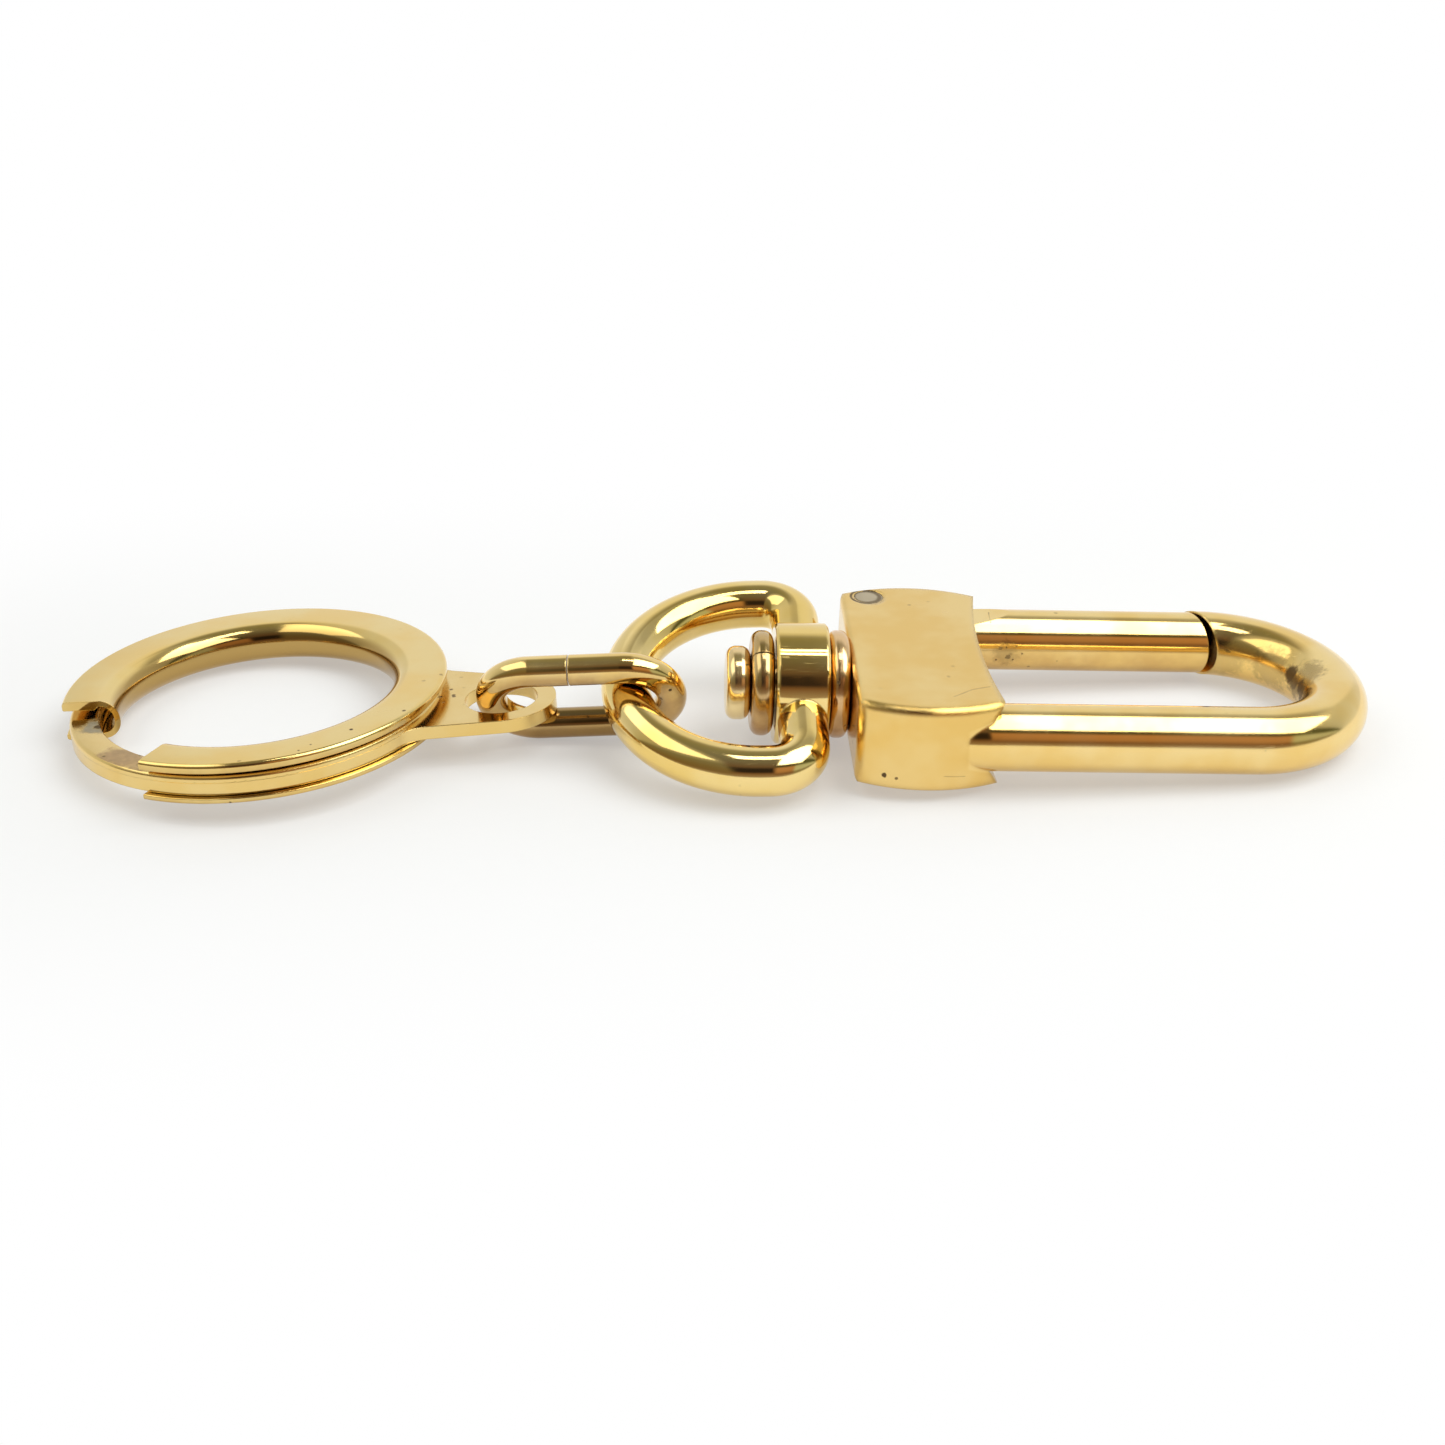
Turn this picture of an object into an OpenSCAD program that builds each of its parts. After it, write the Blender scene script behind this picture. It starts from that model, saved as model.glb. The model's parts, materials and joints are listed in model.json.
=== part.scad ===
// Carabiner keyring: a snap hook on a swivel, a shackle, a jump link and a
// key ring whose sleeve turns to open. All sizes are millimetres.
// X runs along the swivel, hook end positive; +Y is the gate side; Z is up,
// with the table at z = 0. Every piece is drawn where the photograph shows it.

/* [Hook] */
// Diameter of the cast arm and bow
rod_d = 5.0; // [4.6:0.1:5.4]
// Diameter of the gate's round bar
gate_rod_d = 4.8; // [4.4:0.1:5.0]
// Distance between the centre lines of the arm and the gate
arm_spacing = 16.3; // [15.4:0.1:17.4]
// Length of the straight arm beyond the block
arm_run = 18.95; // [16:0.05:24]
// Radius of the bow's bend on the arm side
bow_near_r = 7.55; // [7.2:0.05:8.1]

/* [Block] */
// Length of the block along the swivel
block_l = 10.6; // [10.2:0.1:11.6]
// Height of the block
block_h = 6.8; // [6.6:0.1:7.8]
// How much wider the block is than the arm and gate are apart
block_over = 4.9; // [4.5:0.1:6]
// How far the block's sides bulge
side_bulge = 1.3; // [1.0:0.1:1.6]
// Rounding of the top and bottom edges
edge_round = 0.55; // [0.3:0.05:0.8]
// Rounding of the upright corners at the swivel end
corner_round = 1.3; // [0.8:0.1:1.6]
// Depth of the V across the hook end
mouth_depth = 2.1; // [1.6:0.1:2.2]
// How far the hook end is hollowed between its ears
ear_depth = 0.75; // [0.4:0.05:0.9]
// Rounding of the ear beside the gate
ear_round = 0.8; // [0.6:0.05:1.0]

/* [Gate] */
// Distance from the hinge pin to the gate's tip
gate_reach = 26.4; // [24:0.1:31]
// Clear gap between the gate's tip and the nose
gate_gap = 0.4; // [0.36:0.02:0.6]
// Radius of the gate's domed tip
gate_dome_r = 8.0; // [7:0.5:12]
// Slant of the gate's tip in plan, degrees
gate_lean = 20; // [12:1:22]
// Depth of the flats above and below the gate at the block
gate_flat = 0.42; // [0.3:0.02:0.5]
// Length over which the flats run out
gate_flat_l = 2.8; // [2:0.1:4]
// Distance of the hinge pin from the block's swivel end
pin_inset = 2.2; // [2.1:0.1:2.6]
// Thickness of the flat tongue in the block's slot
tongue_t = 3.0; // [2.6:0.1:3.2]
// Diameter of the hinge pin
gate_pin_d = 2.3; // [2.0:0.1:2.4]
// How far the gate opens, degrees
gate_open = 18; // [12:1:18]

/* [Swivel] */
// Diameter of the swivel shank
shank_d = 3.6; // [3.2:0.1:3.8]
// Diameter of the button head
head_d = 5.6; // [5.2:0.1:6.2]
// Thickness of the button head
head_t = 1.85; // [1.6:0.05:2.1]
// Diameter of the split washer
washer_d = 8.0; // [7.4:0.1:8.6]
// Thickness of the split washer
washer_t = 1.7; // [1.4:0.05:1.9]
// Diameter of the collar against the block
collar_d = 8.2; // [7.6:0.1:8.6]
// Thickness of the collar against the block
collar_t = 1.5; // [1.3:0.05:1.8]
// Diameter of the shackle's barrel
barrel_d = 9.2; // [8.8:0.1:9.8]
// Length of the shackle's barrel
barrel_l = 4.0; // [3.9:0.05:4.4]

/* [Shackle] */
// Thickness of the shackle's bow
shackle_d = 3.75; // [3.4:0.05:3.85]
// Radius of the shackle's round end, on its centre line
shackle_r = 9.95; // [9.6:0.05:10.6]
// Radius of the bend into the barrel, on the centre line
shackle_corner_r = 2.6; // [2.4:0.05:2.9]
// Straight length between the round end and the bend
shackle_run = 0.65; // [0.2:0.05:2]
// Turn of the shackle about the swivel at rest, degrees
shackle_turn = 12.2; // [0:0.1:12.4]
// Lean of the bow out of the swivel's line, degrees
shackle_lean = 2.2; // [0:0.1:3]

/* [Jump link] */
// Wire diameter of the jump link
link_wire_d = 2.34; // [2.1:0.02:2.4]
// Width of the jump link between wire centres
link_w = 6.74; // [6.7:0.02:7.2]
// Length of the jump link between its round ends' centres
link_run = 6.96; // [6.6:0.02:8]

/* [Key ring] */
// Outside diameter of the turning sleeve
ring_d = 29.5; // [29.2:0.1:30.4]
// Finger hole diameter of the turning sleeve
ring_hole_d = 21.0; // [20.2:0.1:21.4]
// Height of the turning sleeve
sleeve_h = 3.15; // [3.05:0.05:3.6]
// Wall of the turning sleeve
sleeve_wall = 0.45; // [0.4:0.05:0.5]
// Thickness of the flat ring inside
plate_t = 1.05; // [0.9:0.05:1.2]
// Outside diameter of the flat ring inside
plate_d = 28.6; // [28.0:0.1:28.8]
// Hole in the flat ring's tab
tab_hole_d = 5.6; // [5.4:0.1:5.8]
// Radius of the tab's round end
tab_r = 4.2; // [4.1:0.05:4.35]
// Distance from the ring's centre to the tab's hole
tab_reach = 19.2; // [18.9:0.1:20]
// Slope of the tab's sides, which spread towards the ring, degrees
tab_flare = 10; // [4:1:12]
// Fillet between the tab and the flat ring
tab_fillet = 2.4; // [1.6:0.1:3]
// Width of the slit that splits the flat ring
plate_gap = 7.5; // [5:0.5:8]

/* [Fits] */
// Running clearance on radius, shank and pin in their holes
run_gap = 0.06; // [0.02:0.01:0.1]
// Side play of the moving pieces
side_gap = 0.08; // [0.05:0.01:0.12]

/* [Hidden] */
$fn = 64;
rod_r = rod_d / 2;
gate_r = gate_rod_d / 2;
arm_y = -arm_spacing / 2;
gate_y = arm_spacing / 2;
bow_far_r = arm_spacing - bow_near_r;
bow_tip_x = arm_run + bow_near_r;

// block: the two long sides are arcs about an upright axis
block_w = arm_spacing + block_over;
half_l = block_l / 2;
side_r = (half_l * half_l + side_bulge * side_bulge) / (2 * side_bulge);
side_shift = side_r - block_w / 2;
half_h = block_h / 2;
over = 1;
end_w = block_w + 2 * over;
ear_half = block_w / 2 - side_bulge;
ear_r = (ear_half * ear_half + ear_depth * ear_depth) / (2 * ear_depth);
// centres of the upright corner rounds, and where they run into the sides
corner_y = sqrt(pow(side_r - corner_round, 2) - pow(half_l - corner_round, 2)) - side_shift;
corner_x_end = (half_l - corner_round) * side_r / (side_r - corner_round);
ear_y = sqrt(pow(side_r - ear_round, 2) - pow(half_l - ear_round, 2)) - side_shift;
ear_x_end = (half_l - ear_round) * side_r / (side_r - ear_round);

// gate
pin_x = -block_l + pin_inset;
pin_off = 0.3;
pin_y = gate_y + pin_off;
eye_r = 1.7;
tongue_w = 3.6;
slot_gap = 0.15;
gate_shoulder_x = -0.25;
gate_tip_x = pin_x + gate_reach;
nose_more = 4;
nose_lean = gate_lean + nose_more;
nose_dish_r = gate_dome_r + gate_gap;
nose_end_x = bow_tip_x - bow_far_r;
// the arm sinks into the block's side along a long curve
arm_root_x = -1.0;
arm_root_r = 8;
arm_root_l = 4;

// swivel stack, from the block outwards
seat = 0.02;
shank_in = 4.8;
shank_r = shank_d / 2;
collar_x = -block_l - seat - collar_t;
barrel_end_x = collar_x - side_gap;
barrel_x = barrel_end_x - barrel_l;
barrel_mid_x = barrel_x + barrel_l / 2;
washer_x = barrel_x - side_gap - washer_t;
head_x = washer_x - seat - head_t;
barrel_rim = 0.2;

// spring behind the gate's tongue
spring_wall = 0.5;
spring_wire_d = 0.3;
spring_od = 1.7;
spring_turns = 7;
spring_bore_r = 1.0;
spring_x = -block_l + shank_in + spring_wall + spring_bore_r;
spring_floor_y = -0.6;
spring_top_y = gate_y - tongue_w / 2 - seat;

// shackle
shackle_wr = shackle_d / 2;
arm_sink = 1.6;
bend_x = -shackle_corner_r;
round_x = bend_x - shackle_run;

// the hook lies on the barrel's lower edge and on the bow
rest_x = barrel_end_x - barrel_rim;
hook_tip = asin((barrel_d / 2 - rod_r) / (bow_tip_x - rest_x));
hook_lift = barrel_d / 2 * cos(hook_tip) + rest_x * sin(hook_tip) + seat;

// from the block's hook end to the middle of the whole object's outline
middle_x = 20.92;
middle_y = -3.71;

// jump link on the bow, and the ring on the link
link_slide = 6.0;
link_turn = [14.88, -4.84, -9.8];
link_at = [0.04, 0.16, -0.10];
link_r = link_w / 2;
link_wr = link_wire_d / 2;
link_slit = 0.12;
link_slit_x = -0.45;
hole_at = [-2.93, 0.74, -1.66];
ring_turn = [-29.87, -0.57, -2.65];

// key ring section
ring_r = ring_d / 2;
bore_r = ring_hole_d / 2;
nose_r = 1.5;
sleeve_half = sleeve_h / 2;
throat = sleeve_half - sleeve_wall;
plate_z = -throat + side_gap;
plate_in_r = bore_r + nose_r + 0.05;
plate_r = plate_d / 2;
// the tab's sides run from the middle of the flat ring to where the round end
// starts; side_x and side_y are the root's place along and across a side
tab_side_y = tab_reach * sin(tab_flare) + tab_r;
tab_side_x = sqrt(pow((plate_in_r + plate_r) / 2, 2) - pow(tab_side_y, 2));
tab_root_x = tab_side_x * cos(tab_flare) + tab_side_y * sin(tab_flare);
tab_root_y = tab_side_y * cos(tab_flare) - tab_side_x * sin(tab_flare);
tab_end_x = tab_reach + tab_r * sin(tab_flare);
tab_end_y = tab_r * cos(tab_flare);
// the fillet at the ring, worked out along the sloping side
fillet_x = sqrt(pow(plate_r + tab_fillet, 2) - pow(tab_side_y + tab_fillet, 2));
fillet_share = plate_r / (plate_r + tab_fillet);
lip_round = 0.2;
plate_gap_at = 118;
sleeve_from = 203.5;
sleeve_to = 252.5;
sleeve_skew = 14;

// Names of the pieces.

// ---- places of the assemblies, each one hung from the last ----
module at_hook() translate([middle_x, middle_y, hook_lift]) rotate([0, hook_tip, 0]) children();
module at_bow() at_hook() translate([barrel_mid_x, 0, 0]) rotate([shackle_turn, 0, 0]) rotate([0, -shackle_lean, 0]) children();
module at_barrel() at_hook() translate([barrel_mid_x, 0, 0]) rotate([shackle_turn, 0, 0]) children();
module at_link() at_bow() translate([round_x, 0, 0]) rotate([0, 0, link_slide]) translate([-shackle_r, 0, 0]) translate(link_at) rotate(link_turn) translate([-link_run, 0, 0]) children();
module at_ring() at_link() translate(hole_at) rotate(ring_turn) translate([-tab_reach, 0, -plate_z - plate_t / 2]) children();

// ---- small helpers ----
module disc(r, h, e) {
    rotate_extrude() union() {
        translate([0, -h / 2]) square([r - e, h]);
        translate([0, -h / 2 + e]) square([r, h - 2 * e]);
        translate([r - e, h / 2 - e]) intersection() { circle(e); square([e, e]); }
        translate([r - e, -h / 2 + e]) intersection() { circle(e); translate([0, -e]) square([e, e]); }
    }
}

module bar(r, x0, x1) translate([x0, 0, 0]) rotate([0, 90, 0]) cylinder(r = r, h = x1 - x0);

module bend(r, wire_r, from, sweep) rotate([0, 0, from]) rotate_extrude(angle = sweep) translate([r, 0]) circle(wire_r);

// ---- hook ----
module block_body() intersection() {
    // the two bulging long sides
    for (s = [0, 1]) mirror([0, s, 0]) intersection() {
        translate([-half_l, side_shift, 0]) disc(side_r, block_h, edge_round);
        translate([-block_l, -end_w / 2, -half_h]) cube([block_l, end_w / 2 + seat, block_h]);
    }
    // upright corners at the swivel end
    union() {
        translate([-half_l - corner_x_end, -end_w / 2, -half_h]) cube([block_l, end_w, block_h]);
        translate([-block_l, -corner_y, -half_h]) cube([block_l, 2 * corner_y, block_h]);
        for (s = [-1, 1]) translate([-block_l + corner_round, s * corner_y, -half_h]) cylinder(r = corner_round, h = block_h);
    }
    // upright corner of the ear beside the gate
    union() {
        translate([-half_l + ear_x_end - block_l, -end_w / 2, -half_h]) cube([block_l, end_w, block_h]);
        translate([-block_l, -end_w / 2, -half_h]) cube([block_l, end_w / 2 + ear_y, block_h]);
        translate([-ear_round, ear_y, -half_h]) cylinder(r = ear_round, h = block_h);
    }
    // rounded top and bottom edges at the swivel end
    translate([0, end_w / 2, 0]) rotate([90, 0, 0]) linear_extrude(end_w) union() {
        translate([-block_l + edge_round, -half_h]) square([block_l, block_h]);
        translate([-block_l, -half_h + edge_round]) square([block_l, block_h - 2 * edge_round]);
        for (s = [-1, 1]) translate([-block_l + edge_round, s * (half_h - edge_round)]) circle(edge_round);
    }
}

// a V with its point inside the block, open to the hook end
module mouth() translate([0, end_w / 2, 0]) rotate([90, 0, 0]) linear_extrude(end_w)
    polygon([[-mouth_depth, 0], [mouth_depth, 2 * half_h], [mouth_depth, -2 * half_h]]);

// the arm's end inside the block
module arm_root() translate([arm_root_x, arm_y, 0]) rotate([0, -90, 0]) rotate_extrude() intersection() {
    translate([rod_r - arm_root_r, 0]) circle(arm_root_r, $fn = 128);
    square([rod_r, arm_root_l]);
}

// a sphere that ends the gate, or dishes the nose, slanted towards the arm
module tip_ball(r, tip_x, lean) translate([tip_x - r * cos(lean), gate_y - r * sin(lean), 0]) sphere(r, $fn = 96);

module slot_plan() {
    translate([pin_x, pin_y]) circle(eye_r + slot_gap);
    // gate closed: open to the far side and to the hook end
    translate([pin_x, gate_y - tongue_w / 2 - slot_gap]) square([block_l, block_w]);
    translate([pin_x, pin_y]) rotate(-gate_open - over) translate([0, gate_y - pin_y - tongue_w / 2 - slot_gap]) square([block_l + 2 * over, tongue_w + 2 * slot_gap]);
}

module hook_frame() color([0.80, 0.60, 0.24]) at_hook() {
    difference() {
        union() {
            difference() {
                block_body();
                // the V across the hook end, and the hollow between the ears
                mouth();
                translate([ear_r - ear_depth, 0, -half_h - over]) cylinder(r = ear_r, h = block_h + 2 * over, $fn = 128);
            }
            arm_root();
            translate([0, arm_y, 0]) bar(rod_r, arm_root_x, arm_run);
            translate([arm_run, arm_y + bow_near_r, 0]) bend(bow_near_r, rod_r, -90, 90);
            translate([nose_end_x, arm_y + bow_near_r, 0]) bend(bow_far_r, rod_r, 0, 90);
            if (gate_tip_x - rod_r < nose_end_x) translate([0, gate_y, 0]) bar(rod_r, gate_tip_x - rod_r, nose_end_x);
        }
        // slot for the gate's tongue
        translate([0, 0, -tongue_t / 2 - side_gap]) linear_extrude(tongue_t + 2 * side_gap) slot_plan();
        // room for the round of the gate as it turns
        for (turn = [0, 0.5, 1]) translate([pin_x, pin_y, 0]) rotate([0, 0, -turn * (gate_open + over)]) translate([-pin_x, gate_y - pin_y, 0]) bar(gate_r + side_gap, gate_shoulder_x - side_gap, rod_d);
        // nose: dished and slanted, so that the gate shuts against it from inside
        tip_ball(nose_dish_r, gate_tip_x + gate_gap, nose_lean);
        // bores
        bar(shank_r, -block_l - over, -block_l + shank_in);
        translate([pin_x, pin_y, -half_h - over]) cylinder(d = gate_pin_d, h = block_h + 2 * over);
        translate([spring_x, gate_y - tongue_w / 2, 0]) rotate([90, 0, 0]) cylinder(r = spring_bore_r, h = gate_y - tongue_w / 2 - spring_floor_y);
    }
}

module gate() color([0.82, 0.62, 0.26]) at_hook() difference() {
    union() {
        intersection() {
            union() {
                translate([0, gate_y, 0]) bar(gate_r, gate_shoulder_x, gate_tip_x + rod_r);
                translate([pin_x, gate_y - tongue_w / 2, -tongue_t / 2]) cube([-pin_x + gate_shoulder_x + over, tongue_w, tongue_t]);
            }
            // slanted, domed tip
            union() {
                translate([pin_x, gate_y - rod_d, -rod_d]) cube([gate_reach - gate_dome_r / 2, 2 * rod_d, 2 * rod_d]);
                tip_ball(gate_dome_r, gate_tip_x, gate_lean);
            }
        }
        translate([pin_x, pin_y, -tongue_t / 2]) cylinder(r = eye_r, h = tongue_t);
    }
    translate([pin_x, pin_y, -tongue_t / 2 - over]) cylinder(r = gate_pin_d / 2 + run_gap, h = tongue_t + 2 * over);
    // flats above and below, running out along the bar
    for (s = [0, 1]) mirror([0, 0, s]) translate([gate_flat_l, gate_y - rod_r, gate_r]) rotate([0, -atan(gate_flat / gate_flat_l), 0]) translate([-2 * gate_flat_l, 0, 0]) cube([2 * gate_flat_l, rod_d, rod_r]);
}

module gate_pin() color([0.62, 0.50, 0.30]) at_hook() translate([pin_x, pin_y, -half_h + seat]) cylinder(d = gate_pin_d, h = block_h - 2 * seat);

module gate_spring() color([0.55, 0.55, 0.56]) at_hook() translate([spring_x, spring_floor_y + spring_wire_d / 2 + seat, 0]) rotate([-90, 0, 0])
    linear_extrude(height = spring_top_y - spring_floor_y - spring_wire_d - seat, twist = -360 * spring_turns, slices = 18 * spring_turns, $fn = 8)
        translate([(spring_od - spring_wire_d) / 2, 0]) circle(d = spring_wire_d, $fn = 8);

// ---- swivel ----
module swivel_pin() color([0.78, 0.58, 0.24]) at_hook() union() {
    bar(shank_r, head_x + head_t / 2, -block_l + shank_in);
    translate([head_x + head_t / 2, 0, 0]) rotate([0, 90, 0]) disc(head_d / 2, head_t, head_t * 0.4);
}

module swivel_split_washer() color([0.76, 0.57, 0.24]) at_hook() difference() {
    translate([washer_x + washer_t / 2, 0, 0]) rotate([0, 90, 0]) disc(washer_d / 2, washer_t, washer_t * 0.45);
    bar(shank_r + run_gap / 2, washer_x - over, washer_x + washer_t + over);
    // the hairline split, on the viewer's side
    translate([washer_x - over, 0, 0]) rotate([118, 0, 0]) translate([0, 0, -0.05]) cube([washer_t + 2 * over, washer_d, 0.1]);
}

module swivel_collar() color([0.74, 0.54, 0.24]) at_hook() difference() {
    translate([collar_x + collar_t / 2, 0, 0]) rotate([0, 90, 0]) disc(collar_d / 2, collar_t, collar_t * 0.42);
    bar(shank_r + run_gap / 2, collar_x - over, collar_x + collar_t + over);
}

// ---- shackle ----
module shackle() color([0.82, 0.62, 0.26]) difference() {
    union() {
        at_bow() {
            translate([round_x, 0, 0]) bend(shackle_r, shackle_wr, 90, 180);
            for (s = [-1, 1]) {
                translate([0, s * shackle_r, 0]) bar(shackle_wr, round_x, bend_x);
                translate([bend_x, s * (shackle_r - shackle_corner_r), 0]) bend(shackle_corner_r, shackle_wr, s > 0 ? 0 : -90, 90);
                rotate([s > 0 ? -90 : 90, 0, 0]) translate([0, 0, barrel_d / 2 - arm_sink]) cylinder(r = shackle_wr, h = shackle_r - shackle_corner_r - barrel_d / 2 + arm_sink);
            }
        }
        at_barrel() translate([-barrel_l / 2, 0, 0]) rotate([0, 90, 0]) rotate_extrude() polygon([[0, 0], [barrel_d / 2 - barrel_rim, 0], [barrel_d / 2, barrel_rim], [barrel_d / 2, barrel_l - barrel_rim], [barrel_d / 2 - barrel_rim, barrel_l], [0, barrel_l]]);
    }
    at_barrel() bar(shank_r + run_gap, -barrel_l / 2 - over, barrel_l / 2 + over);
}

// ---- jump link ----
module jump_link() color([0.82, 0.63, 0.28]) at_link() difference() {
    rotate([90, 0, 0]) union() {
        translate([0, 0, 0]) bend(link_r, link_wr, 90, 180);
        translate([link_run, 0, 0]) bend(link_r, link_wr, -90, 180);
        for (s = [-1, 1]) translate([0, s * link_r, 0]) bar(link_wr, 0, link_run);
    }
    translate([link_run / 2 + link_slit_x - link_slit / 2, -link_w / 2, link_r - link_wire_d]) cube([link_slit, link_w, 2 * link_wire_d]);
}

// ---- key ring ----
module tab_plan() {
    translate([tab_reach, 0]) circle(tab_r);
    polygon([[tab_root_x, -tab_root_y], [tab_end_x, -tab_end_y], [tab_end_x, tab_end_y], [tab_root_x, tab_root_y]]);
    for (s = [0, 1]) mirror([0, s]) rotate(-tab_flare) difference() {
        polygon([[tab_side_x, tab_side_y - seat], [fillet_x, tab_side_y - seat], [fillet_x, tab_side_y], [fillet_share * fillet_x, fillet_share * (tab_side_y + tab_fillet)]]);
        translate([fillet_x, tab_side_y + tab_fillet]) circle(tab_fillet);
    }
}

module ring_plate() color([0.80, 0.62, 0.30]) at_ring() translate([0, 0, plate_z]) difference() {
    linear_extrude(plate_t) union() {
        circle(plate_r, $fn = 128);
        tab_plan();
    }
    translate([0, 0, -over]) cylinder(r = plate_in_r, h = plate_t + 2 * over, $fn = 128);
    translate([tab_reach, 0, -over]) cylinder(d = tab_hole_d, h = plate_t + 2 * over);
    rotate([0, 0, plate_gap_at]) translate([0, -plate_gap / 2, -over]) cube([ring_r, plate_gap, plate_t + 2 * over]);
}

module sleeve_section() difference() {
    union() {
        translate([bore_r + nose_r, -sleeve_half]) square([ring_r - bore_r - nose_r - lip_round, sleeve_h]);
        translate([bore_r + nose_r, -sleeve_half + lip_round]) square([ring_r - bore_r - nose_r, sleeve_h - 2 * lip_round]);
        for (s = [-1, 1]) translate([ring_r - lip_round, s * (sleeve_half - lip_round)]) circle(lip_round);
        translate([bore_r, -sleeve_half + nose_r]) square([nose_r, sleeve_h - 2 * nose_r]);
        for (s = [-1, 1]) translate([bore_r + nose_r, s * (sleeve_half - nose_r)]) circle(nose_r);
    }
    translate([bore_r + nose_r, -throat]) square([ring_r, 2 * throat]);
    translate([bore_r + sleeve_wall, -sleeve_half + nose_r]) square([nose_r, sleeve_h - 2 * nose_r]);
    for (s = [-1, 1]) translate([bore_r + nose_r, s * (sleeve_half - nose_r)]) circle(nose_r - sleeve_wall);
}

module ring_sleeve() color([0.83, 0.64, 0.28]) at_ring() difference() {
    rotate_extrude($fn = 128) sleeve_section();
    // the opening for keys
    translate([0, 0, -sleeve_h]) linear_extrude(2 * sleeve_h) polygon([
        [bore_r * 0.55 * cos((sleeve_from + sleeve_to) / 2), bore_r * 0.55 * sin((sleeve_from + sleeve_to) / 2)],
        [bore_r * cos(sleeve_from), bore_r * sin(sleeve_from)],
        [bore_r * cos(sleeve_from) - 2 * ring_r * cos(sleeve_from - 180 - sleeve_skew), bore_r * sin(sleeve_from) - 2 * ring_r * sin(sleeve_from - 180 - sleeve_skew)],
        [3 * ring_r * cos((sleeve_from + sleeve_to) / 2), 3 * ring_r * sin((sleeve_from + sleeve_to) / 2)],
        [3 * ring_r * cos(sleeve_to), 3 * ring_r * sin(sleeve_to)],
        [bore_r * cos(sleeve_to), bore_r * sin(sleeve_to)]]);
}

hook_frame();
gate();
gate_pin();
gate_spring();
swivel_pin();
swivel_split_washer();
swivel_collar();
shackle();
jump_link();
ring_plate();
ring_sleeve();
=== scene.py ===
"""Studio scene for the carabiner keyring: camera, light, polished gold finishes and wear."""

import json
import logging
import math
from dataclasses import dataclass, field
from enum import Enum

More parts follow.
